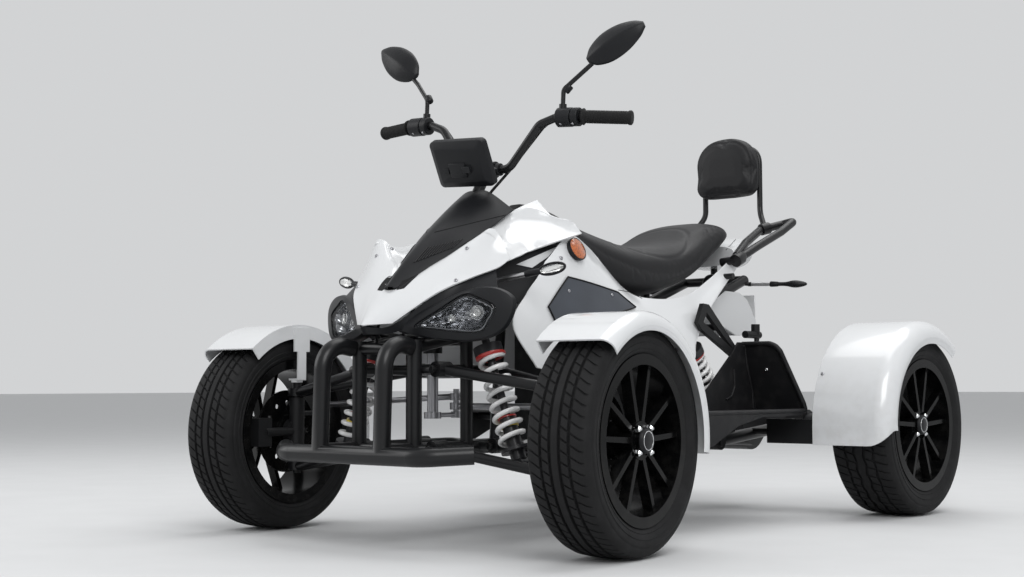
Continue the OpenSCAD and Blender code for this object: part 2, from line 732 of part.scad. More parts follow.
module cowl() {
    color("#222326") at_front() difference() {
        sheet(cowl_grid, panel_t);
        rod(column_at(head_high + 60), bar_foot, column_r + 9);
    }
}

module side_panels() {
    color("white") at_front() both() difference() {
        sheet(side_grid, panel_t);
        translate(rail_lug - [80, 0, 0]) rotate([0, 90, 0]) cylinder(h = 120, r = lug_r + 3);
    }
}

// Grey inlay on the front of each side panel, by its share of the panel's net
module side_inserts() {
    color("#4a4d53") at_front() both()
        sheet(lifted(fine(SIDE, 6, 8, [0.46, 0.84], [0.09, 0.40]), panel_t - 1 + peg_gap), panel_t - 1);
}

// Pegs behind the panels: grid, row, column, and the frame point that carries the peg
peg_r = 5;
peg_gap = 0.9;
PEGS = [
    [hood_grid, 6, 6, [40, bulkhead[0], bulkhead_top]],
    [wing_grid, 3, 3, rail_at(105)],
    [wing_grid, 7, 3, rail_at(200)],
    [side_grid, 4, 6, rail_at(300)],
    [side_grid, 3, 12, rail_at(700)],
    [side_grid, 4, 18, rail_at(1090)]
];

// A stay bends from the frame to the way its peg faces
module stay(tip, way, root, r) {
    rod(tip - way * 10, tip, r);
    rod(tip - way * 8, root, r - 1);
}

module panel_pegs() {
    for (peg = PEGS) {
        n = grid_normal(peg[0], peg[1], peg[2]);
        stay(peg[0][peg[1]][peg[2]] - n * (panel_t + peg_gap), n, peg[3], peg_r);
    }
    n = grid_normal(cowl_grid, 9, 2);
    stay(cowl_grid[9][2] - n * (panel_t + peg_gap), n, column_at(head_low + 40) + [14, 0, 0], peg_r);
    stay(lamp_mid - lamp_face * (lamp_deep + 6 + peg_gap), lamp_face, [front_x, -70, bulkhead_top + 15], peg_r);
    for (k = [0, 1]) {
        way = unit(STALKS[k][1] - STALKS[k][0]);
        stay(STALKS[k][0] - way * seat_gap, way, rail_at([90, 1296][k]), stalk_r);
    }
}

// Saddle: station, half width, top and bottom of each ring
SEAT = [
    [334, 52, 852, 806],
    [420, 104, 838, 722],
    [520, 146, 814, 672],
    [660, 178, 792, 634],
    [800, 184, 794, 642],
    [950, 176, 818, 684],
    [1080, 156, 872, 744],
    [1180, 138, 892, 802],
    [1240, 112, 880, 836]
];
// Stations of the posts under the saddle, and the height of a body's underside clear of a post there
SEAT_RESTS = [480, 660, 950];
rest_r = 11;
function under(table, s) = let (low = [for (r = table) [r[0], r[3]]])
    min(lookup(s - rest_r, low), lookup(s, low), lookup(s + rest_r, low));

module seat() {
    color("#26272a") at_front() loft([for (r = SEAT) body_ring(r[0], r[1], r[2], r[3], 3, 24)]);
}

TAIL = [
    [1246, 128, 826, 762],
    [1300, 124, 846, 762],
    [1380, 108, 862, 762],
    [1430, 92, 864, 806]
];

module tail_cover() {
    color("white") at_front() loft([for (r = TAIL) body_ring(r[0], r[1], r[2], r[3], 3, 24)]);
}

module tail_lamp() {
    color("#a01818") at_front() translate([-70, 1430 + seat_gap, 818]) cube([140, 14, 34]);
}

// Headlamps: rings made by shrinking the lens outline about its middle and moving it along the way it faces

LAMP = [[104, -158, 531], [150, -128, 570], [205, -97, 610], [255, -80, 606],
    [288, -70, 588], [275, -78, 548], [228, -97, 516], [165, -128, 520]];
lamp_mid = [for (c = [0:2]) [for (p = LAMP) p[c]] * [for (p = LAMP) 1 / len(LAMP)]];
lamp_face = unit(cross(LAMP[4] - LAMP[0], LAMP[2] - LAMP[6]));
lamp_sides = 20;
lamp_deep = 62;
lens_t = 3;
function lamp_ring(k, d) = [for (i = [0:lamp_sides - 1])
    lamp_mid + k * (loop_at(LAMP, i / lamp_sides) - lamp_mid) + d * lamp_face];
// Each profile lists how far the outline is shrunk and how far it stands forward
LENS_PROFILE = [[0.05, 9], [0.5, 7.5], [0.85, 4], [1, 0],
    [1, -lens_t], [0.85, 4 - lens_t], [0.5, 7.5 - lens_t], [0.05, 9 - lens_t]];
HOUSING_PROFILE = [[0.2, -lamp_deep], [0.7, -46], [0.93, -lens_t - seat_gap], [1.02, -lens_t - seat_gap],
    [1.02, 2], [1.15, -2], [1.17, -10], [0.85, -50], [0.5, -lamp_deep - 6]];
REFLECTOR_PROFILE = [[0.1, -lamp_deep + 3], [0.6, -42], [0.84, -8],
    [0.87, -8], [0.63, -45], [0.1, -lamp_deep + seat_gap]];

module lamp_shell(profile) {
    at_front() both() loft([for (p = profile) lamp_ring(p[0], p[1])]);
}

module headlamp_housings() {
    color("#18191b") lamp_shell(HOUSING_PROFILE);
}

module headlamp_reflectors() {
    color("silver") lamp_shell(REFLECTOR_PROFILE);
}

module headlamp_lenses() {
    color("lightblue", 0.4) lamp_shell(LENS_PROFILE);
}

// Amber reflector on each side panel

reflector_cell = [1, 3];
reflector_r = 24;

module side_reflectors() {
    p = side_grid[reflector_cell[0]][reflector_cell[1]];
    n = grid_normal(side_grid, reflector_cell[0], reflector_cell[1]);
    color("darkorange") at_front() both() {
        rod(p + n * peg_gap, p + n * 4, 7);
        rod(p + n * 3, p + n * 12, reflector_r);
    }
}

// Indicators on stalks: root and tip of each stalk
STALKS = [
    [[200, 18, 644], [322, 44, 663]],
    [[136, 1334, 706], [246, 1366, 702]]
];
stalk_r = 7;
// Length along the lamp and radius there
BULB = [[0, 8], [8, 14], [25, 17], [44, 14], [58, 4]];

module indicator_stalks() {
    color("#2a2b2d") at_front() both() for (stalk = STALKS) rod(stalk[0], stalk[1], stalk_r);
}

module indicator_lenses() {
    color("gainsboro") at_front() both() for (stalk = STALKS) along(stalk[0], stalk[1])
        translate([0, 0, norm(stalk[1] - stalk[0]) + seat_gap])
            loft([for (b = BULB) [for (q = [0:11]) [b[1] * cos(30 * q), b[1] * sin(30 * q), b[0]]]]);
}

// Grab rails and backrest

grab_r = 13;
GRAB = [rail_lug + [-4, 0, 0], [208, 1180, 806], [205, 1330, 872], [200, 1484, 928]];
post_r = 9;
post_x = 104;
post_y = 1430;
pad_foot = 992;
pad_t = 48;
// Where the backrest's clamp holds the grab rail, as a share of the rail's straight stretch
clamp_share = 0.6;
clamp_half = 16;

module grab_rails() {
    color("#17181a") at_front() both() difference() {
        union() {
            bent_tube(GRAB, grab_r, 120);
            translate(rail_lug - [18, 0, 0]) rotate([0, 90, 0]) cylinder(h = 26, r = 18);
        }
        translate(rail_lug - [40, 0, 0]) rotate([0, 90, 0]) cylinder(h = 40 + seat_gap, r = lug_r + seat_gap);
    }
}

module backrest_frame() {
    way = unit(GRAB[2] - GRAB[1]);
    hold = GRAB[1] + (GRAB[2] - GRAB[1]) * clamp_share;
    color("#17181a") at_front() {
        both() difference() {
            union() {
                rod(hold - way * clamp_half, hold + way * clamp_half, grab_r + 6);
                bent_tube([hold - [grab_r + 3, 0, 0], [post_x + 40, 1400, 900], [post_x, post_y, 950], [post_x, post_y, pad_foot + 110]],
                    post_r, 30);
            }
            rod(hold - way * 40, hold + way * 40, grab_r + seat_gap);
        }
        rod([-post_x, post_y, pad_foot + 95], [post_x, post_y, pad_foot + 95], post_r - 2);
    }
}

// Outline of the pad: low corners, and wider ones at the top
pad_low_r = 44;
pad_high_r = 96;

module backrest_pad() {
    color("#26272a") at_front() translate([0, post_y - post_r - seat_gap, pad_foot]) rotate([90, 0, 0])
        linear_extrude(height = pad_t) {
            translate([-pad_half_w, pad_low_r]) square([2 * pad_half_w, pad_h - pad_low_r - pad_high_r]);
            translate([-pad_half_w + pad_low_r, 0]) square([2 * (pad_half_w - pad_low_r), pad_low_r]);
            translate([-pad_half_w + pad_high_r, pad_h - pad_high_r])
                square([2 * (pad_half_w - pad_high_r), pad_high_r]);
            for (e = [-1, 1]) {
                translate([e * (pad_half_w - pad_low_r), pad_low_r]) circle(pad_low_r);
                translate([e * (pad_half_w - pad_high_r), pad_h - pad_high_r]) circle(pad_high_r);
            }
        }
}

// Footwells: floor, inner wall, leaning heel wall and a skirt below the outer edge

well_in = 256;
well_out = 430;
well_front = 600;
well_rear = 1256;
floor_z = 315;
heel_lean = 17;
mat_in = 290;
mat_out = 418;
mat_rear = 1150;
mat_edge = 14;
mat_t = 3;

module plate_x(x, t) {
    translate([x, 0, 0]) rotate([90, 0, 90]) linear_extrude(height = t) children();
}

module footwells() {
    color("#202124") at_front() both() footwell();
}

module footwell() {
    rear = well_rear - 4;
    low = floor_z - footwell_t;
    translate([well_in, well_front, low]) cube([well_out - well_in, rear - well_front, footwell_t]);
    // Raised tread for the shoe, clear of the walls
    translate([mat_in, well_front + mat_edge, floor_z - 1]) cube([mat_out - mat_in, mat_rear - well_front - mat_edge, mat_t + 1]);
    plate_x(well_in, footwell_t)
        polygon([[870, low], [rear, low], [1196, 514], [1140, 514], [1060, 476], [900, 350]]);
    plate_x(well_out - footwell_t, footwell_t)
        polygon([[well_front, floor_z], [well_front, 224], [640, 224], [770, 276], [900, 298], [rear, 300], [rear, floor_z]]);
    translate([0, well_rear + 2, low]) rotate([90 + heel_lean, 0, 0]) linear_extrude(height = footwell_t)
        polygon([[well_in, 0], [well_out - 20, 0], [well_out - 28, 30], [352, 200], [330, 212], [well_in, 212]]);
}

// Cast hanger and floor bars that carry a footwell
hanger_t = 14;
hanger_z = 556;
hanger_rod_r = 10;
// Where the hanger's rod ends on the leaning frame post
post_lean = (rail_x - seat_rail_x) / (seat_rail_z - rail_z);
hanger_root = seat_rail_x + (seat_rail_z - hanger_z + hanger_rod_r) * post_lean + cross_r + 2 * seat_gap;
floor_bar_r = 12;

module footwell_brackets() {
    rail_side = rail_x + frame_r + seat_gap;
    bar_z = floor_z - footwell_t - seat_gap - floor_bar_r;
    color("#1b1c1e") at_front() both() {
        plate_x(well_in - seat_gap - hanger_t, hanger_t) difference() {
            polygon([[872, 622], [842, 566], [862, 546], [1062, 456], [1082, 470], [900, 620]]);
            polygon([[888, 596], [872, 568], [1030, 492]]);
        }
        rod([hanger_root, bay_rear, hanger_z], [well_in - hanger_t + 2, bay_rear, hanger_z], hanger_rod_r);
        for (s = [660, 850]) bent_tube([[rail_side, s, rail_z], [216, s, rail_z], [272, s, bar_z], [well_out - 12, s, bar_z]],
            floor_bar_r, 30);
    }
}

// Brake cylinder above the left footwell's inner wall
module brake_unit() {
    color("#303134") at_front() {
        rod([well_in + 3, 1090, 538], [well_in + 3, 1170, 538], 11);
        translate([well_in + 3, 1150, 540]) cylinder(h = 30, r = 13);
        translate([well_in, 1146, 514 + seat_gap]) cube([footwell_t, 20, 20]);
    }
}

battery_front = 445;
battery_rear = 935;
// Stations of the cross tubes under the battery
BATTERY_RESTS = [500, 880];

module battery_pack() {
    color("#3b3d41") at_front() translate([-battery_half_w, battery_front, rail_z + cross_r + seat_gap])
        cube([2 * battery_half_w, battery_rear - battery_front, battery_h]);
}

// Rear end: swing arm, drive axle and mudguards

axle_r = 30;
axle_half = 440;
beam_r = 18;
guard_stay_x = 300;
guard_stay_y = 1142;
guard_stay_z = 250;

module swing_arm() {
    axle = [swing_pivot.x, wheelbase, tyre_r_rear];
    stay_from = swing_pivot + (axle - swing_pivot) * ((guard_stay_y - swing_pivot.y) / (axle.y - swing_pivot.y));
    color("#1d1e20") at_front() {
        both() difference() {
            union() {
                rod(swing_pivot, axle, beam_r);
                translate(swing_pivot) rotate([0, 90, 0]) cylinder(h = 50, r = 24, center = true);
                translate(axle) rotate([0, 90, 0]) cylinder(h = 60, r = axle_r + 12, center = true);
                translate([swing_pivot.x - 6, rear_foot.y, swing_pivot.z])
                    cylinder(h = rear_foot.z - swing_pivot.z + 12, r = 10);
                rod(rear_foot - [20, 0, 0], [swing_pivot.x - 6, rear_foot.y, rear_foot.z], shock_pin_r);
                rod([stay_from.x, guard_stay_y, guard_stay_z], [guard_stay_x, guard_stay_y, guard_stay_z], 10);
            }
            translate(swing_pivot) rotate([0, 90, 0]) cylinder(h = 80, r = swing_pin_r + seat_gap, center = true);
            translate(axle) rotate([0, 90, 0]) cylinder(h = 80, r = axle_r + seat_gap, center = true);
        }
        rod([-swing_pivot.x, 1080, 237], [swing_pivot.x, 1080, 237], beam_r - 4);
    }
}

module drive_axle() {
    color("#2b2c2f") at_rear() translate([0, 0, tyre_r_rear]) rotate([0, 90, 0]) {
        cylinder(h = 2 * axle_half, r = axle_r, center = true);
        cylinder(h = 2 * (half_rear + 44), r = spindle_r, center = true);
        for (e = [-1, 1]) translate([0, 0, e * axle_half]) cylinder(h = 16, r = 58, center = true);
        cylinder(h = 130, r = 88, center = true);
        translate([0, -96, 30]) cylinder(h = 210, r = 70, center = true);
    }
}

rear_gap = 37;
rear_half = 115;
rear_corner = 45;
rear_lip = 44;
skirt_foot = 214;
rear_past_top = 34;
skirt_lap = 3;
skirt_swell = 0.15;

module rear_fenders() {
    r = tyre_r_rear + rear_gap;
    drop = tyre_r_rear - skirt_foot;
    plate = 8;
    color("white") for (side = [-1, 1]) rear_wheel(side) {
        rotate([90 - rear_past_top, 0, 0]) guard_turn(90 + rear_past_top)
            arch_section(r, rear_half, rear_half, 40, rear_lip, panel_t, rear_corner);
        // The skirt laps over the arch's end and is a hair thicker, so that they join as one solid
        translate([0, 0, -drop]) linear_extrude(height = drop + skirt_lap) rotate(-90)
            arch_section(r - skirt_swell, rear_half - skirt_swell, rear_half - skirt_swell, 40, rear_lip,
                panel_t + 2 * skirt_swell, rear_corner - skirt_swell);
        // Inner flange that reaches in to the swing arm
        translate([guard_stay_x + seat_gap - half_rear, guard_stay_y - wheelbase - plate / 2, 2 - drop])
            cube([half_rear - rear_half - guard_stay_x - panel_t / 2, plate, 72]);
    }
}

// Steering assembly

bar_mid = bar_foot + column_axis * 16;
bar_flat = 72;
BAR = [[404, 279, 1087], [287, 242, 1091], [205, 236, 1092], [158, 231, 1076], [bar_flat, bar_mid.y, bar_mid.z]];
bar_bend = 36;

module steering_column() {
    color("#202124") bar_steered() difference() {
        union() {
            rod(column_at(knee_z + 14), bar_foot + column_axis * 8, column_r);
            rod(column_at(head_high) + column_axis, column_at(head_high) + column_axis * 12, column_r + 9);
            rod(bar_mid - [30, 0, 0], bar_mid + [30, 0, 0], bar_r + 11);
        }
        rod(bar_mid - [40, 0, 0], bar_mid + [40, 0, 0], bar_r + seat_gap);
    }
}

module handlebar() {
    color("#17181a") bar_steered()
        bent_tube(concat(BAR, [for (k = [len(BAR) - 1:-1:0]) flip(BAR[k])]), bar_r, bar_bend);
}

grip_way = unit(BAR[0] - BAR[1]);
grip_from = BAR[1] + grip_way * 6;
grip_end = BAR[0] + grip_way * 6;

module grips() {
    color("#1a1a1b") bar_steered() both() difference() {
        union() {
            rod(grip_from, grip_end, grip_r);
            rod(grip_from, grip_from + grip_way * 6, grip_r + 5);
        }
        rod(grip_from - grip_way * 2, BAR[0] + grip_way * seat_gap, bar_r + seat_gap);
    }
}

pod_way = unit(BAR[1] - BAR[2]);
pod_from = BAR[2] + pod_way * 8;
pod_l = 64;
pod_r = 22;

module switch_pods() {
    color("#1c1d1f") bar_steered() both() difference() {
        rod(pod_from, pod_from + pod_way * pod_l, pod_r);
        rod(pod_from - pod_way * 5, pod_from + pod_way * (pod_l + 5), bar_r + seat_gap);
    }
}

stem_foot = pod_from + pod_way * 12 + [0, 0, pod_r + seat_gap];
stem_r = 6;
mirror_mid = [357, 270, 1282];
mirror_way = unit([74, 12, 62]);
mirror_back = unit([0.05, 1, -0.12] - mirror_way * ([0.05, 1, -0.12] * mirror_way));
mirror_across = cross(mirror_back, mirror_way);
// Distance along the head, half height there, depth to the front, depth to the glass side
MIRROR = [[-80, 10, 8, 5], [-62, 27, 16, 8], [-20, 40, 24, 9], [25, 42, 24, 9], [62, 30, 16, 8], [80, 10, 8, 5]];

module mirror_stems() {
    root = mirror_mid + mirror_way * (MIRROR[0][0] - seat_gap);
    color("#1c1d1f") bar_steered() both() {
        bent_tube([stem_foot + [0, 0, 4], stem_foot + [0, 0, 50], root - mirror_way * 24, root], stem_r, 20);
        translate(stem_foot) cylinder(h = 12, r = 10);
    }
}

function mirror_ring(row, n) = [for (k = [0:n - 1]) let (a = 360 * k / n)
    mirror_mid + mirror_way * row[0] + mirror_across * row[1] * cos(a)
        + mirror_back * (sin(a) > 0 ? row[3] : row[2]) * sin(a)];

module mirror_heads() {
    color("#1c1d1f") bar_steered() both() loft([for (row = MIRROR) mirror_ring(row, 16)]);
}

glass_t = 2;

module mirror_glass() {
    color("lightsteelblue") bar_steered() both() loft([for (d = [0, glass_t]) [for (k = [0:23]) let (a = 15 * k)
        mirror_mid + mirror_way * 60 * cos(a) + mirror_across * 32 * sin(a) + mirror_back * (MIRROR[2][3] + 0.6 + d)]]);
}

dash_size = [180, 34, 112];
dash_mid = [0, 118, 977];
dash_tilt = 24;

module dash() {
    color("#1a1b1d") bar_steered() difference() {
        union() {
            translate(dash_mid) rotate([dash_tilt, 0, 0]) cube(dash_size, center = true);
            for (e = [-1, 1]) {
                rod(bar_mid + [e * 40, 0, 0], dash_mid + [e * 40, 0, -20], 7);
                rod(bar_mid + [e * 34, 0, 0], bar_mid + [e * 46, 0, 0], bar_r + 6);
            }
        }
        rod(bar_mid - [60, 0, 0], bar_mid + [60, 0, 0], bar_r + seat_gap);
    }
}

frame_left();
frame_right();
cross_tubes();
steering_head();
panel_stays();
front_bumper();
suspension_arms();
dampers();
springs();
hood();
upper_wings();
cowl();
headlamp_housings();
headlamp_reflectors();
headlamp_lenses();
side_panels();
side_inserts();
side_reflectors();
indicator_stalks();
indicator_lenses();
seat();
tail_cover();
tail_lamp();
grab_rails();
backrest_frame();
backrest_pad();
footwells();
footwell_brackets();
brake_unit();
battery_pack();
swing_arm();
drive_axle();
rear_fenders();
steering_column();
handlebar();
grips();
switch_pods();
mirror_stems();
mirror_heads();
mirror_glass();
dash();
pitman();
knuckle_left();
knuckle_right();
front_fender_left();
front_fender_right();
tie_rod_left();
tie_rod_right();
tyre_fl();
tyre_fr();
tyre_rl();
tyre_rr();
rim_fl();
rim_fr();
rim_rl();
rim_rr();
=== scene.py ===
"""Looks of an electric quad bike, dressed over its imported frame."""
import json
import logging
import math
from dataclasses import dataclass
from enum import Enum
from typing import Callable, Iterable, Mapping, Sequence, Union

import bmesh
import bpy
import numpy as np
from mathutils import Matrix, Vector
from mathutils.bvhtree import BVHTree

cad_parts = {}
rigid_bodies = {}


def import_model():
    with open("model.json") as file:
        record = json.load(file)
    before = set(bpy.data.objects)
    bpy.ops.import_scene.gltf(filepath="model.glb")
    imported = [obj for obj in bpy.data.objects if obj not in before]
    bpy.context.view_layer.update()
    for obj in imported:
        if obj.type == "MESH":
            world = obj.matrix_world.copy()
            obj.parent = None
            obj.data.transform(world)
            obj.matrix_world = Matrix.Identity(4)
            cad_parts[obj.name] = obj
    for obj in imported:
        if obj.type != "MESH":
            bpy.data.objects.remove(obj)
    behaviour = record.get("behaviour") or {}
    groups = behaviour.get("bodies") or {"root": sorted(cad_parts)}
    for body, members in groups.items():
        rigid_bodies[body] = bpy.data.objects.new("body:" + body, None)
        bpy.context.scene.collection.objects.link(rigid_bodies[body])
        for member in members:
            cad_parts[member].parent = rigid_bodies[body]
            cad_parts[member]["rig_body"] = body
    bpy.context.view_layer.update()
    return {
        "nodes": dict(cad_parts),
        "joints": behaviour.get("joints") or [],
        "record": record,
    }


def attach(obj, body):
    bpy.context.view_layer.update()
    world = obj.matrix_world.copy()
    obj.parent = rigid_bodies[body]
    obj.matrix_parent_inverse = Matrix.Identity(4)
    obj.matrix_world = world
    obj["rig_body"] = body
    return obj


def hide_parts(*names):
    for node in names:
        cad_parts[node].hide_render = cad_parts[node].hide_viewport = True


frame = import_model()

LOG = logging.getLogger("quad_bike")
NODES: dict[str, bpy.types.Object] = frame["nodes"]
JOINTS: dict[str, dict] = {joint["name"]: joint for joint in frame["joints"]}
SLOTS: dict[str, str] = {part["node"]: part["material_slot"] for part in frame["record"]["subparts"]}
MM = 0.001
CHASSIS = "chassis"
Colour = tuple[float, float, float]
Pixel = tuple[float, float]
Pair = tuple[float, float]
Pairs = Sequence[Pair]
Point = tuple[float, float, float]
Value = Union["Signal", float, int, Sequence[float]]


class Signal:
    """A shader socket in an expression; arithmetic on it adds Math or Vector Math nodes."""

    def __init__(self, graph: "Graph", socket: bpy.types.NodeSocket) -> None:
        """Wraps one output socket of a graph."""
        self.graph = graph
        self.socket = socket

    def _join(self, operation: str, other: Value) -> "Signal":
        """Adds the node that suits this socket's kind.

        Args:
            operation: the name of the sum, such as ADD.
            other: its second value.

        Returns:
            The node's output.
        """
        kind = "ShaderNodeVectorMath" if self.socket.type == "VECTOR" else "ShaderNodeMath"
        return self.graph.out(self.graph.node(kind, {"operation": operation}, in0=self, in1=other))

    def __add__(self, other: Value) -> "Signal":
        """Sum."""
        return self._join("ADD", other)

    def __sub__(self, other: Value) -> "Signal":
        """Difference."""
        return self._join("SUBTRACT", other)

    def __mul__(self, other: Value) -> "Signal":
        """Product."""
        return self._join("MULTIPLY", other)

    def step(self, low: float, high: float) -> "Signal":
        """Smooth rise from 0 at low to 1 at high; with high below low it falls instead."""
        return self.graph.out(self.graph.node(
            "ShaderNodeMapRange", {"interpolation_type": "SMOOTHSTEP"},
            Value=self, From_Min=low, From_Max=high, To_Min=0.0, To_Max=1.0))


class Graph:
    """A node tree in the making."""

    def __init__(self, tree: bpy.types.NodeTree) -> None:
        """Starts with an empty tree."""
        self.tree = tree
        tree.nodes.clear()

    def node(self, kind: str, settings: Mapping[str, object] | None = None,
             **sockets: Value) -> bpy.types.Node:
        """Adds a node of any type.

        Args:
            kind: Blender's name of the node's type.
            settings: attributes that are set first; "stops" gives a ramp's places and colours.
            sockets: values or links by socket name, with _ for a space, or in0, in1 by place.

        Returns:
            The new node.
        """
        made = self.tree.nodes.new(kind)
        for key, value in (settings or {}).items():
            if key == "stops":
                self._ramp(made, value)
            else:
                setattr(made, key, value)
        self.feed(made, **sockets)
        return made

    @staticmethod
    def _ramp(node: bpy.types.Node, stops: Sequence[tuple[float, Sequence[float]]]) -> None:
        """Sets the stops of a colour ramp."""
        ramp = node.color_ramp.elements
        while len(ramp) < len(stops):
            ramp.new(1.0)
        for element, (place, colour) in zip(ramp, stops):
            element.position, element.color = place, colour

    def feed(self, node: bpy.types.Node, **sockets: Value) -> None:
        """Sets or links input sockets of a node, named as in node()."""
        for key, value in sockets.items():
            place = int(key[2:]) if key[:2] == "in" and key[2:].isdigit() else key.replace("_", " ")
            socket = node.inputs[place]
            if isinstance(value, Signal):
                self.tree.links.new(value.socket, socket)
            else:
                socket.default_value = value

    def out(self, node: bpy.types.Node, name: Union[int, str] = 0) -> Signal:
        """One output of a node, ready for an expression."""
        return Signal(self, node.outputs[name])


class Surface(Graph):
    """The node tree of one material."""

    def __init__(self, label: str) -> None:
        """Starts a material with an output and one Principled shader."""
        self.material = bpy.data.materials.new(label)
        self.material.use_nodes = True
        super().__init__(self.material.node_tree)
        self.shader = self.node("ShaderNodeBsdfPrincipled")
        self.node("ShaderNodeOutputMaterial", None, Surface=self.out(self.shader))
        self.place = self.out(self.node("ShaderNodeTexCoord"), "Object")

    def surface(self, **sockets: Value) -> None:
        """Sets or links sockets of the material's shader."""
        self.feed(self.shader, **sockets)

    def axis(self, name: str) -> Signal:
        """One coordinate of the position, by its letter."""
        return self.out(self.node("ShaderNodeSeparateXYZ", None, Vector=self.place), name)

    def noise(self, scale: float, detail: float = 3.0, vector: Signal | None = None) -> Signal:
        """Soft noise from 0 to 1, with scale in waves a metre."""
        return self.out(self.node("ShaderNodeTexNoise", None, Vector=vector or self.place,
                                  Scale=scale, Detail=detail))

    def cells(self, scale: float) -> Signal:
        """Distance pattern of a cell texture."""
        return self.out(self.node("ShaderNodeTexVoronoi", None, Vector=self.place, Scale=scale), "Distance")

    def ramp(self, factor: Signal, *stops: tuple[float, Sequence[float]]) -> Signal:
        """A colour by the stops of a ramp."""
        return self.out(self.node("ShaderNodeValToRGB", {"stops": stops}, Fac=factor))

    def mix(self, mask: Value, first: Value, second: Value) -> Signal:
        """Blends two colours by a mask."""
        return self.out(self.node("ShaderNodeMix", {"data_type": "RGBA"}, in0=mask, in6=first, in7=second), 2)

    def bump(self, height: Signal, strength: float, depth: float, under: Signal | None = None) -> Signal:
        """A normal from a height.

        Args:
            height: the height pattern, from 0 to 1.
            strength: how much of it shows.
            depth: height of the pattern in metres.
            under: a normal to work on, such as a rounded edge.

        Returns:
            The bumped normal.
        """
        node = self.node("ShaderNodeBump", None, Height=height, Strength=strength, Distance=depth)
        if under is not None:
            self.feed(node, Normal=under)
        return self.out(node)

    def rounded(self, radius: float) -> Signal:
        """A normal that rounds hard edges by a radius in metres."""
        return self.out(self.node("ShaderNodeBevel", {"samples": 4}, Radius=radius))


def rgba(colour: Colour, factor: float = 1.0) -> tuple[float, float, float, float]:
    """A colour made lighter or darker, with full alpha."""
    return (*(min(1.0, part * factor) for part in colour), 1.0)


@dataclass(frozen=True)
class Finish:
    """A surface by its label, colour and roughness."""

    label: str
    colour: Colour
    rough: float = 0.4
    edge: float = 1.2 * MM

    def dress(self, graph: Surface) -> None:
        """Wires the graph of this finish."""
        raise NotImplementedError

    def material(self) -> bpy.types.Material:
        """The material of this finish, made once."""
        found = bpy.data.materials.get(self.label)
        if found is None:
            graph = Surface(self.label)
            self.dress(graph)
            found = graph.material
            found.diffuse_color = rgba(self.colour)
        return found


@dataclass(frozen=True)
class Paint(Finish):
    """Glossy moulded or painted panel with a clear top coat."""

    coat: float = 0.7
    dust: float = 0.25
    gloss: float = 0.5

    def dress(self, graph: Surface) -> None:
        """Even colour, faint ripple, light dust low down."""
        low = graph.axis("Z").step(0.55, 0.05) * graph.noise(38.0, 5.0).step(0.35, 0.75) * self.dust
        tone = graph.mix(graph.noise(3.2, 4.0), rgba(self.colour, 0.97), rgba(self.colour, 1.02))
        graph.surface(
            Base_Color=graph.mix(low, tone, (0.36, 0.34, 0.31, 1.0)),
            Roughness=graph.noise(26.0) * 0.08 + (self.rough - 0.04) + low * 0.3,
            Coat_Weight=self.coat, Coat_Roughness=0.06, Specular_IOR_Level=self.gloss,
            Normal=graph.bump(graph.noise(240.0, 2.0), 0.05, 0.4 * MM, graph.rounded(self.edge)))


@dataclass(frozen=True)
class Moulding(Finish):
    """Satin or matt moulded plastic with a fine spark-eroded grain."""

    grain: float = 1500.0
    depth: float = 0.12
    dust: float = 0.0

    def dress(self, graph: Surface) -> None:
        """Grain bump, cloudy sheen, dust in uneven patches."""
        cloud = graph.noise(14.0, 4.0)
        film = graph.noise(31.0, 6.0).step(0.45, 0.8) * self.dust
        tone = graph.mix(cloud, rgba(self.colour, 0.8), rgba(self.colour, 1.25))
        graph.surface(
            Base_Color=graph.mix(film, tone, (0.22, 0.21, 0.2, 1.0)),
            Roughness=cloud * 0.14 + (self.rough - 0.07) + film * 0.4, Specular_IOR_Level=0.24,
            Normal=graph.bump(graph.noise(self.grain, 2.0), self.depth, 0.5 * MM, graph.rounded(self.edge)))


@dataclass(frozen=True)
class Coated(Finish):
    """Powder-coated metal with orange peel and small rubbed spots."""

    wear: float = 0.3

    def dress(self, graph: Surface) -> None:
        """Peel bump, rubbed spots that are greyer and smoother."""
        rubbed = graph.noise(55.0, 6.0).step(0.66, 0.78) * self.wear
        graph.surface(
            Base_Color=graph.mix(rubbed, rgba(self.colour), rgba(self.colour, 3.2)),
            Roughness=graph.noise(30.0, 4.0) * 0.12 + (self.rough - 0.06) - rubbed * 0.1,
            Coat_Weight=0.1, Coat_Roughness=0.2, Specular_IOR_Level=0.3,
            Normal=graph.bump(graph.noise(620.0, 2.0), 0.10, 0.5 * MM, graph.rounded(self.edge)))


@dataclass(frozen=True)
class Rubber(Finish):
    """Tyre or grip rubber, with a thin uneven film of dust."""

    dust: float = 0.35

    def dress(self, graph: Surface) -> None:
        """Fine texture and a thin uneven film of dust."""
        film = graph.noise(22.0, 6.0).step(0.40, 0.80) * self.dust
        graph.surface(
            Base_Color=graph.mix(film, rgba(self.colour), rgba(self.colour, 2.6)),
            Roughness=graph.noise(70.0, 4.0) * 0.16 + (self.rough - 0.08), Specular_IOR_Level=0.22,
            Normal=graph.bump(graph.noise(1300.0, 3.0), 0.18, 0.5 * MM))


@dataclass(frozen=True)
class Metal(Finish):
    """Bare, plated or brushed metal."""

    brushed: float = 0.0

    def dress(self, graph: Surface) -> None:
        """Drawn-out scratches and a cloudy polish."""
        lines = graph.noise(1.0, 3.0, graph.place * (90.0, 900.0, 900.0))
        graph.surface(
            Base_Color=graph.mix(graph.noise(40.0, 4.0), rgba(self.colour, 0.86), rgba(self.colour, 1.06)),
            Metallic=1.0, Roughness=graph.noise(60.0, 4.0) * 0.12 + (self.rough - 0.06),
            Normal=graph.bump(lines, 0.02 + self.brushed * 0.2, 0.2 * MM, graph.rounded(self.edge)))


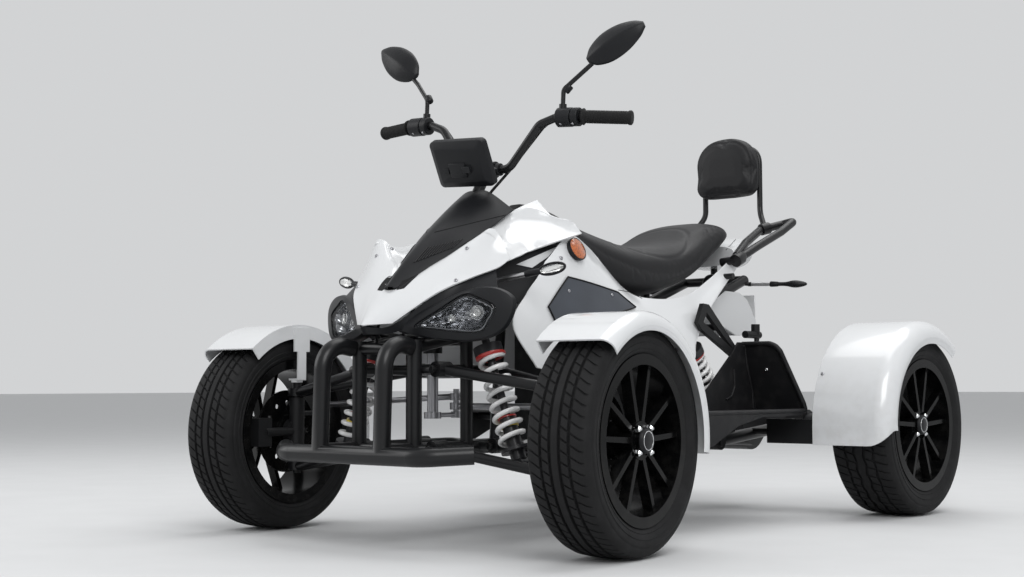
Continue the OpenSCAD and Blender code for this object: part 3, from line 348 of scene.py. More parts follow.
@dataclass(frozen=True)
class Vinyl(Finish):
    """Grained seat cover."""

    def dress(self, graph: Surface) -> None:
        """Leather grain of two sizes of cell, worn smoother in clouds."""
        grain = graph.cells(560.0) * 0.7 + graph.noise(900.0, 3.0) * 0.5
        worn = graph.noise(9.0, 4.0)
        graph.surface(
            Base_Color=graph.mix(worn, rgba(self.colour, 0.85), rgba(self.colour, 1.3)),
            Roughness=worn * 0.12 + (self.rough - 0.06), Specular_IOR_Level=0.28,
            Normal=graph.bump(grain, 0.35, 0.5 * MM))


@dataclass(frozen=True)
class Clear(Finish):
    """Clear or tinted lamp cover."""

    ridges: float = 0.0
    alpha: float = 1.0

    def dress(self, graph: Surface) -> None:
        """Glass or a thin film of it, with a faint ripple or moulded prisms."""
        ripple = graph.cells(self.ridges) if self.ridges else graph.noise(120.0, 2.0)
        graph.surface(
            Base_Color=rgba(self.colour), Transmission_Weight=float(self.alpha == 1.0),
            IOR=1.46, Alpha=self.alpha,
            Roughness=graph.noise(50.0) * 0.03 + self.rough,
            Normal=graph.bump(ripple, 0.4 if self.ridges else 0.05, 0.5 * MM))


@dataclass(frozen=True)
class Prism(Finish):
    """Coloured reflector with moulded prisms behind a gloss face."""

    pitch: float = 210.0

    def dress(self, graph: Surface) -> None:
        """Cells that catch the light, in three steps of colour: a painted highlight in each cell's middle and
        painted shade at its edge.
        """
        cell = graph.cells(self.pitch)
        # painted highlight in each prism's middle, fading to painted shade at its edge
        tone = graph.ramp(cell, (0.1, rgba(self.colour, 1.25)), (0.45, rgba(self.colour)),
                          (0.8, rgba(self.colour, 0.5)))
        graph.surface(
            Base_Color=tone, Roughness=self.rough, Coat_Weight=1.0, Coat_Roughness=0.03,
            Normal=graph.bump(cell, 0.25, 0.8 * MM))


@dataclass(frozen=True)
class Bowl(Finish):
    """Bright vacuum-plated lamp bowl with facets."""

    pitch: float = 62.0

    def dress(self, graph: Surface) -> None:
        """Facets from a cell pattern, each with its own tilt, and a painted highlight in its middle that
        darkens to painted shade at its edge.
        """
        facets = graph.cells(self.pitch)
        graph.surface(
            # painted highlight at each facet's middle, painted shade toward its edge
            Base_Color=graph.mix(facets, rgba(self.colour, 1.1), rgba(self.colour, 0.62)),
            Metallic=1.0, Roughness=facets * 0.10 + self.rough,
            Normal=graph.bump(facets, 0.7, 6.0 * MM))


class Look(Enum):
    """The finishes of the vehicle."""

    GLOSS_WHITE = Paint("gloss_white_panel", (0.66, 0.67, 0.68), 0.22)
    COWL_BLACK = Moulding("satin_black_moulding", (0.009, 0.0095, 0.011), 0.40)
    FRAME_BLACK = Coated("black_coated_tube", (0.006, 0.0062, 0.007), 0.36)
    BUMPER_BLACK = Coated("bumper_coating", (0.006, 0.0062, 0.007), 0.33)
    CAST_BLACK = Moulding("black_casting", (0.009, 0.0092, 0.010), 0.46, grain=700.0, depth=0.25)
    SPRING_WHITE = Paint("spring_coating", (0.78, 0.78, 0.78), 0.32, coat=0.4)
    DAMPER_DARK = Coated("damper_body", (0.022, 0.022, 0.024), 0.34)
    BOWL = Bowl("lamp_bowl", (0.42, 0.43, 0.45), 0.06)
    LAMP_LENS = Clear("lamp_cover", (0.03, 0.032, 0.035), 0.03, alpha=0.14)
    AMBER = Prism("amber_reflector", (0.46, 0.105, 0.012), 0.22)
    CLEAR_LENS = Clear("indicator_lens", (0.92, 0.92, 0.90), 0.06, ridges=240.0)
    TAIL_RED = Prism("tail_lens", (0.42, 0.012, 0.012), 0.2)
    SLATE = Moulding("slate_inlay", (0.052, 0.058, 0.070), 0.36)
    VINYL = Vinyl("seat_vinyl", (0.0085, 0.0085, 0.0095), 0.50)
    WELL_BLACK = Moulding("footwell_moulding", (0.009, 0.009, 0.010), 0.46, grain=900.0, depth=0.2, dust=0.05)
    BATTERY = Moulding("battery_case", (0.014, 0.0145, 0.016), 0.5, dust=0.1)
    AXLE = Coated("drive_casting", (0.014, 0.014, 0.0155), 0.5, wear=0.6)
    STEEL = Metal("plain_steel", (0.42, 0.42, 0.44), 0.36, brushed=0.5)
    GRIP = Rubber("grip_compound", (0.009, 0.009, 0.009), 0.68, dust=0.15)
    MIRROR = Metal("silvered_glass", (0.82, 0.84, 0.86), 0.07)
    TYRE = Rubber("tyre_rubber", (0.0085, 0.0085, 0.009), 0.70)
    RIM = Paint("gloss_black_rim", (0.002, 0.0021, 0.0023), 0.2, coat=0.03, dust=0.02, gloss=0.1)
    CHROME = Metal("chrome", (0.78, 0.79, 0.80), 0.14)
    SATIN_ROD = Metal("satin_rod", (0.62, 0.62, 0.63), 0.30, brushed=0.3)
    COLLAR_RED = Paint("spring_collar", (0.55, 0.03, 0.025), 0.3)
    BAND_YELLOW = Paint("damper_band", (0.75, 0.60, 0.06), 0.35, coat=0.3)
    # near-black for seams and trim, and for sheets of painted shade over the cowl's slot and between the
    # vent's slats
    DARK_SEAM_AND_SHADE = Moulding("dark_seam_and_painted_shade", (0.006, 0.006, 0.0065), 0.7)
    SCREEN = Paint("display_glass", (0.008, 0.009, 0.011), 0.12, dust=0.0)


SLOT_LOOKS: dict[str, Look] = {
    "gloss_white": Look.GLOSS_WHITE, "cowl_black": Look.COWL_BLACK, "frame_black": Look.FRAME_BLACK,
    "bumper_black": Look.BUMPER_BLACK, "cast_black": Look.CAST_BLACK, "spring_white": Look.SPRING_WHITE,
    "damper_dark": Look.DAMPER_DARK, "reflector": Look.BOWL, "lamp_lens": Look.LAMP_LENS, "amber": Look.AMBER,
    "clear_lens": Look.CLEAR_LENS, "tail_red": Look.TAIL_RED, "slate": Look.SLATE, "vinyl": Look.VINYL,
    "well_black": Look.WELL_BLACK, "battery": Look.BATTERY, "axle": Look.AXLE, "steel": Look.STEEL,
    "grip_rubber": Look.GRIP, "glass_mirror": Look.MIRROR, "tyre": Look.TYRE, "rim_black": Look.RIM,
}
LOOK_SLOTS: dict[Look, str] = {look: slot for slot, look in SLOT_LOOKS.items()}
LOOK_SLOTS |= {Look.CHROME: "steel", Look.SATIN_ROD: "steel"}


class Shape:
    """A mesh in the making: points and faces gathered by pieces."""

    def __init__(self) -> None:
        """Starts with nothing."""
        self.points: list[np.ndarray] = []
        self.faces: list[tuple[int, ...]] = []
        self.count = 0

    def add(self, points: Iterable[Sequence[float]], faces: Iterable[Sequence[int]]) -> "Shape":
        """Adds points and the faces between them."""
        array = np.array([tuple(p) for p in points], float).reshape(-1, 3)
        self.faces += [tuple(self.count + i for i in face) for face in faces]
        self.points.append(array)
        self.count += len(array)
        return self

    def grid(self, rows: Sequence[Sequence[Sequence[float]]], wrap_rows: bool = False,
             wrap: bool = False) -> "Shape":
        """Adds a net of quads.

        Args:
            rows: rows of points, all as long.
            wrap_rows: joins the last row to the first.
            wrap: joins the last point of each row to its first.

        Returns:
            This shape.
        """
        m, n = len(rows), len(rows[0])
        across = n if wrap else n - 1
        down = m if wrap_rows else m - 1
        faces = [(i * n + j, i * n + (j + 1) % n, (i + 1) % m * n + (j + 1) % n, (i + 1) % m * n + j)
                 for i in range(down) for j in range(across)]
        return self.add([p for row in rows for p in row], faces)

    def loft(self, rings: Sequence[Sequence[Sequence[float]]]) -> "Shape":
        """Adds a closed body through rings of points."""
        start, n, m = self.count, len(rings[0]), len(rings)
        self.grid(rings, wrap=True)
        for first in (start, start + (m - 1) * n):
            self.faces.append(tuple(first + q for q in range(n)))
        return self

    def sheet(self, rows: np.ndarray, thick: float) -> "Shape":
        """Adds a curved sheet of even thickness, its outer face on the rows."""
        inner = rows - thick * grid_normals(rows)
        m, n = rows.shape[:2]
        start = self.count
        self.grid(rows).grid(inner)
        rim = [(i, 0) for i in range(m)] + [(m - 1, j) for j in range(1, n)]
        rim += [(i, n - 1) for i in range(m - 2, -1, -1)] + [(0, j) for j in range(n - 2, 0, -1)]
        ids = [start + i * n + j for i, j in rim]
        self.faces += [(a, b, b + m * n, a + m * n) for a, b in zip(ids, ids[1:] + ids[:1])]
        return self

    def tube(self, path: Sequence[Sequence[float]], radius: float, sides: int = 10) -> "Shape":
        """Adds a closed round tube along points."""
        line = [Vector(p) for p in path]
        rings: list[list[Vector]] = []
        across: Vector | None = None
        for k, p in enumerate(line):
            ahead = (line[min(k + 1, len(line) - 1)] - line[max(k - 1, 0)]).normalized()
            if across is None:
                across = ahead.orthogonal()
            across = (across - ahead * across.dot(ahead)).normalized()
            rings.append(oval(p, across * radius, ahead.cross(across) * radius, sides))
        return self.loft(rings)

    def lathe(self, profile: Pairs, place: Matrix, steps: int = 24) -> "Shape":
        """Adds a turned body about a frame's X axis.

        Args:
            profile: pairs of distance along X and radius, closed by its ends on the axis.
            place: where the axis lies.
            steps: columns round the axis.

        Returns:
            This shape.
        """
        rows = [[place @ Vector((x, max(r, 1e-6) * math.cos(a), max(r, 1e-6) * math.sin(a)))
                 for a in (2 * math.pi * q / steps for q in range(steps))] for x, r in profile]
        return self.grid(rows, wrap=True)

    def prism(self, outline: Pairs, low: float, high: float) -> "Shape":
        """Adds an outline in Y and Z, drawn out along X from low to high."""
        return self.loft([[(x, y, z) for y, z in outline] for x in (low, high)])

    def flipped(self) -> "Shape":
        """The same shape on the other side of the vehicle, beside this one."""
        other = Shape()
        other.points = self.points + [p * (-1, 1, 1) for p in self.points]
        other.faces = self.faces + [tuple(self.count + i for i in reversed(face)) for face in self.faces]
        other.count = 2 * self.count
        return other

    def moved(self, place: Matrix) -> "Shape":
        """This shape after a move."""
        self.points = [np.array([place @ Vector(p) for p in block]) for block in self.points]
        return self

    def mesh(self, name: str) -> bpy.types.Mesh:
        """A Blender mesh of the points and faces."""
        made = bpy.data.meshes.new(name)
        made.from_pydata(np.concatenate(self.points).tolist(), [], self.faces)
        tidy(made)
        return made

    def piece(self, name: str, body: str, look: Look, smooth: float = 40.0) -> bpy.types.Object:
        """Makes the object.

        Args:
            name: the piece's name.
            body: the body that it rides on.
            look: its finish.
            smooth: edges sharper than this stay hard, in degrees.

        Returns:
            The new piece, riding on its body.
        """
        return finish_piece(self.mesh(name), name, body, look, smooth)


def tidy(mesh: bpy.types.Mesh) -> None:
    """Welds a mesh and turns its faces outwards."""
    work = bmesh.new()
    work.from_mesh(mesh)
    bmesh.ops.remove_doubles(work, verts=work.verts, dist=0.01 * MM)
    bmesh.ops.dissolve_degenerate(work, dist=0.005 * MM, edges=work.edges)
    bmesh.ops.recalc_face_normals(work, faces=work.faces)
    work.to_mesh(mesh)
    work.free()


def finish_piece(mesh: bpy.types.Mesh, name: str, body: str, look: Look,
                 smooth: float = 40.0) -> bpy.types.Object:
    """Makes a riding piece of a mesh.

    Args:
        mesh: the mesh, in the frame's own place.
        name: the piece's name.
        body: the body that it rides on.
        look: its finish.
        smooth: edges sharper than this stay hard, in degrees.

    Returns:
        The new piece.
    """
    mesh.polygons.foreach_set("use_smooth", [True] * len(mesh.polygons))
    mesh.set_sharp_from_angle(angle=math.radians(smooth))
    mesh.materials.clear()
    mesh.materials.append(look.value.material())
    piece = bpy.data.objects.new(name, mesh)
    bpy.context.scene.collection.objects.link(piece)
    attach(piece, body)
    look in LOOK_SLOTS
    LOG.info("%s on %s, %d faces", name, body, len(mesh.polygons))
    return piece


def stands_for(piece: bpy.types.Object, node: str) -> None:
    """Lets a piece stand for a frame node by hiding the node."""
    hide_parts(node)


def soft_edge(piece: bpy.types.Object, width: float, angle: float = 55.0) -> bpy.types.Object:
    """Rounds a piece's hard edges by a bevel of a width in metres."""
    edge = piece.modifiers.new("soft_edge", "BEVEL")
    edge.width, edge.segments = width, 2
    edge.limit_method, edge.angle_limit = "ANGLE", math.radians(angle)
    return piece


def baked(mesh: bpy.types.Mesh, *steps: Callable[[bpy.types.Object], None]) -> bpy.types.Mesh:
    """A mesh after modifiers.

    Args:
        mesh: the mesh to start from.
        steps: functions that add modifiers to a stand-in object.

    Returns:
        A new mesh with the modifiers applied.
    """
    stand_in = bpy.data.objects.new("stand_in", mesh)
    bpy.context.scene.collection.objects.link(stand_in)
    for step in steps:
        step(stand_in)
    graph = bpy.context.evaluated_depsgraph_get()
    result = bpy.data.meshes.new_from_object(stand_in.evaluated_get(graph), depsgraph=graph)
    bpy.data.objects.remove(stand_in)
    return result


def cut(mesh: bpy.types.Mesh, cutter: Shape, operation: str = "DIFFERENCE") -> bpy.types.Mesh:
    """A mesh less, or shared with, a closed shape."""
    tool = bpy.data.objects.new("cutter", cutter.mesh("cutter"))
    bpy.context.scene.collection.objects.link(tool)

    def add(stand_in: bpy.types.Object) -> None:
        """Adds the boolean."""
        step = stand_in.modifiers.new("cut", "BOOLEAN")
        step.operation, step.object, step.solver = operation, tool, "EXACT"

    result = baked(mesh, add)
    bpy.data.objects.remove(tool)
    return result


def curve_at(points: np.ndarray, u: float, closed: bool = False) -> np.ndarray:
    """A smooth curve through points.

    Args:
        points: the points, along the first axis of the array.
        u: share of the way along, from 0 to 1.
        closed: joins the last point to the first.

    Returns:
        The point at that share; an open end carries straight on.
    """
    n = len(points) if closed else len(points) - 1
    k = int(u * n) % n if closed else min(int(u * n), n - 1)
    t = u * n - int(u * n) if closed else u * n - k
    if closed:
        a, b, c, d = (points[(k + q) % n] for q in (-1, 0, 1, 2))
    else:
        b, c = points[k], points[k + 1]
        a = points[k - 1] if k > 0 else 2 * b - c
        d = points[k + 2] if k + 2 < len(points) else 2 * c - b
    square, cube = 2 * a - 5 * b + 4 * c - d, 3 * b - a - 3 * c + d
    return 0.5 * (2 * b + (c - a) * t + square * t * t + cube * t ** 3)


def resample(points: Sequence[Sequence[float]], count: int, closed: bool = False) -> np.ndarray:
    """Even shares along a smooth curve."""
    array = np.array(points, float)
    steps = count if closed else count - 1
    return np.array([curve_at(array, k / steps, closed) for k in range(count)])


def fine(net: Sequence[Sequence[Sequence[float]]], rows: int, columns: int) -> np.ndarray:
    """A fine grid over a net of control points."""
    across = np.array([resample(row, columns) for row in net])
    return resample(across, rows)


def grid_normals(rows: np.ndarray) -> np.ndarray:
    """Unit normals of a grid of points."""
    down, across = np.gradient(rows, axis=0), np.gradient(rows, axis=1)
    normal = np.cross(down, across)
    return normal / np.linalg.norm(normal, axis=2, keepdims=True)


FRONT_AXLE = -707 * MM


def at_front(points: Sequence) -> np.ndarray:
    """Points of width, distance behind the front axle and height, in mm, as places in metres."""
    return np.array(points, float) * MM + (0.0, FRONT_AXLE, 0.0)


def both_sides(half: Sequence[Sequence[float]]) -> list[Sequence[float]]:
    """A row from the middle to the left as a whole row from left to right."""
    return list(half[:0:-1]) + [(-x, y, z) for x, y, z in half]


def rounded_path(points: Sequence[Sequence[float]], bend: float, steps: int = 8) -> list[Vector]:
    """A path through points with its corners rounded.

    Args:
        points: corners in metres.
        bend: radius of the bends in metres.
        steps: points along each bend.

    Returns:
        The points of the path.
    """
    line = [Vector(p) for p in points]
    path = [line[0]]
    for before, corner, after in zip(line, line[1:], line[2:]):
        ahead, away = (corner - before).normalized(), (after - corner).normalized()
        turn = ahead.angle(away)
        room = min((corner - before).length, (after - corner).length) / 2.05
        reach = min(bend * math.tan(turn / 2), room)
        start, end = corner - ahead * reach, corner + away * reach
        for k in range(steps + 1):
            t = k / steps
            path.append(start * (1 - t) ** 2 + corner * 2 * t * (1 - t) + end * t * t)
    return path + [line[-1]]


def mesh_shape(mesh: bpy.types.Mesh) -> Shape:
    """The points and faces of a mesh as a new shape."""
    return Shape().add((v.co for v in mesh.vertices), (tuple(p.vertices) for p in mesh.polygons))


def node_shape(node: str) -> Shape:
    """The mesh of a frame node as a new shape."""
    return mesh_shape(NODES[node].data)


def solids(node: str) -> list[tuple[np.ndarray, list[tuple[int, ...]]]]:
    """The separate solids of a node, as points and faces."""
    work = bmesh.new()
    work.from_mesh(NODES[node].data)
    bmesh.ops.remove_doubles(work, verts=work.verts, dist=0.01 * MM)
    work.verts.index_update()
    owner = [-1] * len(work.verts)
    groups: list[list[bmesh.types.BMVert]] = []
    for first in work.verts:
        if owner[first.index] >= 0:
            continue
        owner[first.index] = len(groups)
        group = [first]
        for vert in group:
            for edge in vert.link_edges:
                other = edge.other_vert(vert)
                if owner[other.index] < 0:
                    owner[other.index] = len(groups)
                    group.append(other)
        groups.append(group)
    found = []
    for k, group in enumerate(groups):
        place = {vert.index: i for i, vert in enumerate(group)}
        faces = [tuple(place[vert.index] for vert in face.verts)
                 for face in work.faces if owner[face.verts[0].index] == k]
        found.append((np.array([tuple(vert.co) for vert in group]), faces))
    work.free()
    return found


def loose_parts(node: str) -> list[np.ndarray]:
    """The points of each separate solid of a node, from the right to the left."""
    return sorted((points for points, _ in solids(node)), key=lambda part: tuple(np.round(part.mean(0), 3)))


def body_of(node: str) -> str:
    """The body that carries a node."""
    return NODES[node]["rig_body"]


def smooth_copy(node: str, look: Look, smooth: float, bevel: float) -> None:
    """Makes a smooth-shaded copy of a node with soft edges, which stands for it.

    Args:
        node: the frame node.
        look: the finish of the copy.
        smooth: edges sharper than this stay hard, in degrees.
        bevel: width of the soft edge in metres.
    """
    piece = node_shape(node).piece(node + "_skin", body_of(node), look, smooth)
    stands_for(soft_edge(piece, bevel), node)


def turned_to(spot: Vector, way: Vector) -> Matrix:
    """A frame at a spot with X along a way."""
    return Matrix.Translation(spot) @ way.to_track_quat("X", "Z").to_matrix().to_4x4()


def mm(*pairs: Pair) -> list[Pair]:
    """Pairs of lengths in mm, as metres."""
    return [(a * MM, b * MM) for a, b in pairs]


def side_view(points: Iterable[Pair]) -> list[Pair]:
    """Points of distance behind the front axle and height, in mm, as Y and Z in metres."""
    return [(s * MM + FRONT_AXLE, z * MM) for s, z in points]


def oval(middle: Vector, along: Vector, up: Vector, count: int) -> list[Vector]:
    """Points of an ellipse about a middle, by its two half axes."""
    angles = (2 * math.pi * k / count for k in range(count))
    return [middle + along * math.cos(a) + up * math.sin(a) for a in angles]


def arc_corners(corners: Sequence[Point], steps: int) -> list[Pair]:
    """A closed outline with four round corners.

    Args:
        corners: each arc's middle and radius, from the lower right, counter-clockwise.
        steps: steps along each arc.

    Returns:
        The points of the outline.
    """
    points = []
    for k, (x, z, r) in enumerate(corners):
        angles = (math.radians(90 * (k - 1 + q / steps)) for q in range(steps + 1))
        points += [(x + r * math.cos(a), z + r * math.sin(a)) for a in angles]
    return points


def bolt_profile(r: float) -> list[Pair]:
    """A button head with a socket, by height above its seat and radius."""
    return [(-1.5 * MM, 0.0), (-1.5 * MM, r), (0.22 * r, r), (0.5 * r, 0.82 * r), (0.62 * r, 0.55 * r),
            (0.62 * r, 0.46 * r), (0.22 * r, 0.42 * r), (0.22 * r, 0.0)]


@dataclass
class Rod:
    """The axis and reach of a round solid."""

    middle: Vector
    way: Vector
    low: float
    high: float
    reach: float

    @classmethod
    def of(cls, points: np.ndarray) -> "Rod":
        """Finds the long axis of a solid's points, pointing up."""
        middle = points.mean(0)
        _, _, axes = np.linalg.svd(points - middle)
        way = axes[0] * (np.sign(axes[0][2]) or 1.0)
        along = (points - middle) @ way
        out = np.linalg.norm((points - middle) - np.outer(along, way), axis=1)
        return cls(Vector(middle), Vector(way), float(along.min()), float(along.max()), float(out.max()))

    def at(self, along: float) -> Matrix:
        """A frame on the axis, with X along it."""
        return turned_to(self.middle + self.way * along, self.way)


class Skin:
    """The faces of some pieces, for what sits on them."""

    def __init__(self, *pieces: bpy.types.Object) -> None:
        """Gathers the faces."""
        points: list[Vector] = []
        faces: list[tuple[int, ...]] = []
        for piece in pieces:
            start = len(points)
            points += [v.co.copy() for v in piece.data.vertices]
            faces += [tuple(start + i for i in p.vertices) for p in piece.data.polygons]
        self.tree = BVHTree.FromPolygons(points, faces)

    def hit(self, origin: Vector, way: Vector) -> tuple[Vector, Vector] | None:
        """Where a ray first meets the faces, with the normal that looks back along it."""
        spot, normal, _, _ = self.tree.ray_cast(origin, way)
        if spot is None:
            return None
        return spot, (normal if normal.dot(way) < 0 else -normal)


@dataclass
class Studio:
    """Camera at the photograph's angle, pale floor, soft lamps and a plain sky."""

    picture: tuple[int, int] = (1024, 577)
    eye: Point = (2.561, -3.3885, 0.3915)
    yaw: float = -40.436
    pitch: float = 3.744
    roll: float = -0.153
    focal_px: float = 1464.4
    floor_colour: Colour = (0.60, 0.605, 0.61)
    sky_colour: Colour = (0.975, 0.987, 1.0)
    sky_light: float = 0.62
    sky_shown: float = 0.66

    def directions(self) -> tuple[Vector, Vector, Vector]:
        """The camera's right, up and forward directions."""
        yaw, pitch, roll = (math.radians(a) for a in (self.yaw, self.pitch, self.roll))
        ahead = Vector((math.sin(yaw) * math.cos(pitch), math.cos(yaw) * math.cos(pitch), math.sin(pitch)))
        right = ahead.cross(Vector((0, 0, 1))).normalized()
        up = right.cross(ahead)
        return (right * math.cos(roll) + up * math.sin(roll),
                up * math.cos(roll) - right * math.sin(roll), ahead)

    def build(self) -> None:
        """Makes the camera, floor, lamps and sky."""
        self.camera()
        self.floor()
        self.lamps()
        self.sky()
        bpy.context.scene.view_settings.view_transform = "Standard"

    def camera(self) -> None:
        """Sets the scene's camera."""
        right, up, ahead = self.directions()
        data = bpy.data.cameras.new("camera")
        data.sensor_width = 36.0
        data.lens = self.focal_px / self.picture[0] * data.sensor_width
        made = bpy.data.objects.new("camera", data)
        columns = (right, up, -ahead, Vector(self.eye))
        made.matrix_world = Matrix([[c[row] for c in columns] for row in range(3)] + [(0, 0, 0, 1)])
        bpy.context.scene.collection.objects.link(made)
        bpy.context.scene.camera = made

    def ray(self, pixel: Pixel) -> tuple[Vector, Vector]:
        """The eye and the direction of a pixel of the picture."""
        right, up, ahead = self.directions()
        x = (pixel[0] - self.picture[0] / 2) / self.focal_px
        y = (self.picture[1] / 2 - pixel[1]) / self.focal_px
        return Vector(self.eye), (ahead + right * x + up * y).normalized()

    def trace(self, skin: Skin, pixels: Sequence[Pixel], lift: float, steps: int = 8) -> list[Vector]:
        """A line seen in the picture, laid on a skin.

        Args:
            skin: the faces that carry the line.
            pixels: corners of the line in the picture.
            lift: height above the skin in metres.
            steps: points from one corner to the next.

        Returns:
            The points that meet the skin.
        """
        line = []
        for (x0, y0), (x1, y1) in zip(pixels, pixels[1:]):
            for k in range(steps):
                line.append((x0 + (x1 - x0) * k / steps, y0 + (y1 - y0) * k / steps))
        hits = [skin.hit(*self.ray(pixel)) for pixel in line + [pixels[-1]]]
        return [spot + normal * lift for spot, normal in (hit for hit in hits if hit)]

    def floor(self) -> None:
        """A wide pale floor with a fine cement grain."""
        reach = 60.0
        mesh = bpy.data.meshes.new("floor")
        corners = [(-reach, -reach, 0), (reach, -reach, 0), (reach, reach, 0), (-reach, reach, 0)]
        mesh.from_pydata(corners, [], [(0, 1, 2, 3)])
        graph = Surface("pale_floor")
        tone = graph.mix(graph.noise(5.0, 8.0), rgba(self.floor_colour, 0.95), rgba(self.floor_colour, 1.04))
        graph.surface(Base_Color=tone, Roughness=0.75, Specular_IOR_Level=0.25,
                      Normal=graph.bump(graph.noise(160.0, 5.0), 0.12, 1.0 * MM))
        mesh.materials.append(graph.material)
        made = bpy.data.objects.new("floor", mesh)
        bpy.context.scene.collection.objects.link(made)

    def lamps(self) -> None:
        """Three large soft panels: ahead to the left, ahead to the right and overhead."""
        for name, spot, side, power in (
                ("key_lamp", (4.2, -3.6, 4.2), 3.4, 190.0),
                ("fill_lamp", (-4.6, -3.4, 3.0), 3.6, 95.0),
                ("top_lamp", (0.3, 1.4, 5.2), 4.5, 150.0)):
            data = bpy.data.lights.new(name, "AREA")
            data.shape, data.size, data.energy = "SQUARE", side, power
            made = bpy.data.objects.new(name, data)
            made.location = spot
            made.rotation_euler = (Vector((0, 0, 0.5)) - Vector(spot)).to_track_quat("-Z", "Y").to_euler()
            bpy.context.scene.collection.objects.link(made)

    def sky(self) -> None:
        """An even sky whose seen colour meets the floor's far edge."""
        world = bpy.data.worlds.new("plain_sky")
        bpy.context.scene.world = world
        world.use_nodes = True
        graph = Graph(world.node_tree)
        path = graph.node("ShaderNodeLightPath")
        seen = sum((graph.out(path, name) for name in ("Is Glossy Ray", "Is Transmission Ray")),
                   graph.out(path, "Is Camera Ray"))
        colour = rgba(self.sky_colour)
        lit, shown = (graph.out(graph.node("ShaderNodeBackground", None, Color=colour, Strength=level))
                      for level in (self.sky_light, self.sky_shown))
        choice = graph.node("ShaderNodeMixShader", None, Fac=seen, in1=lit, in2=shown)
        graph.node("ShaderNodeOutputWorld", None, Surface=graph.out(choice))


Net = Sequence[Sequence[Point]]


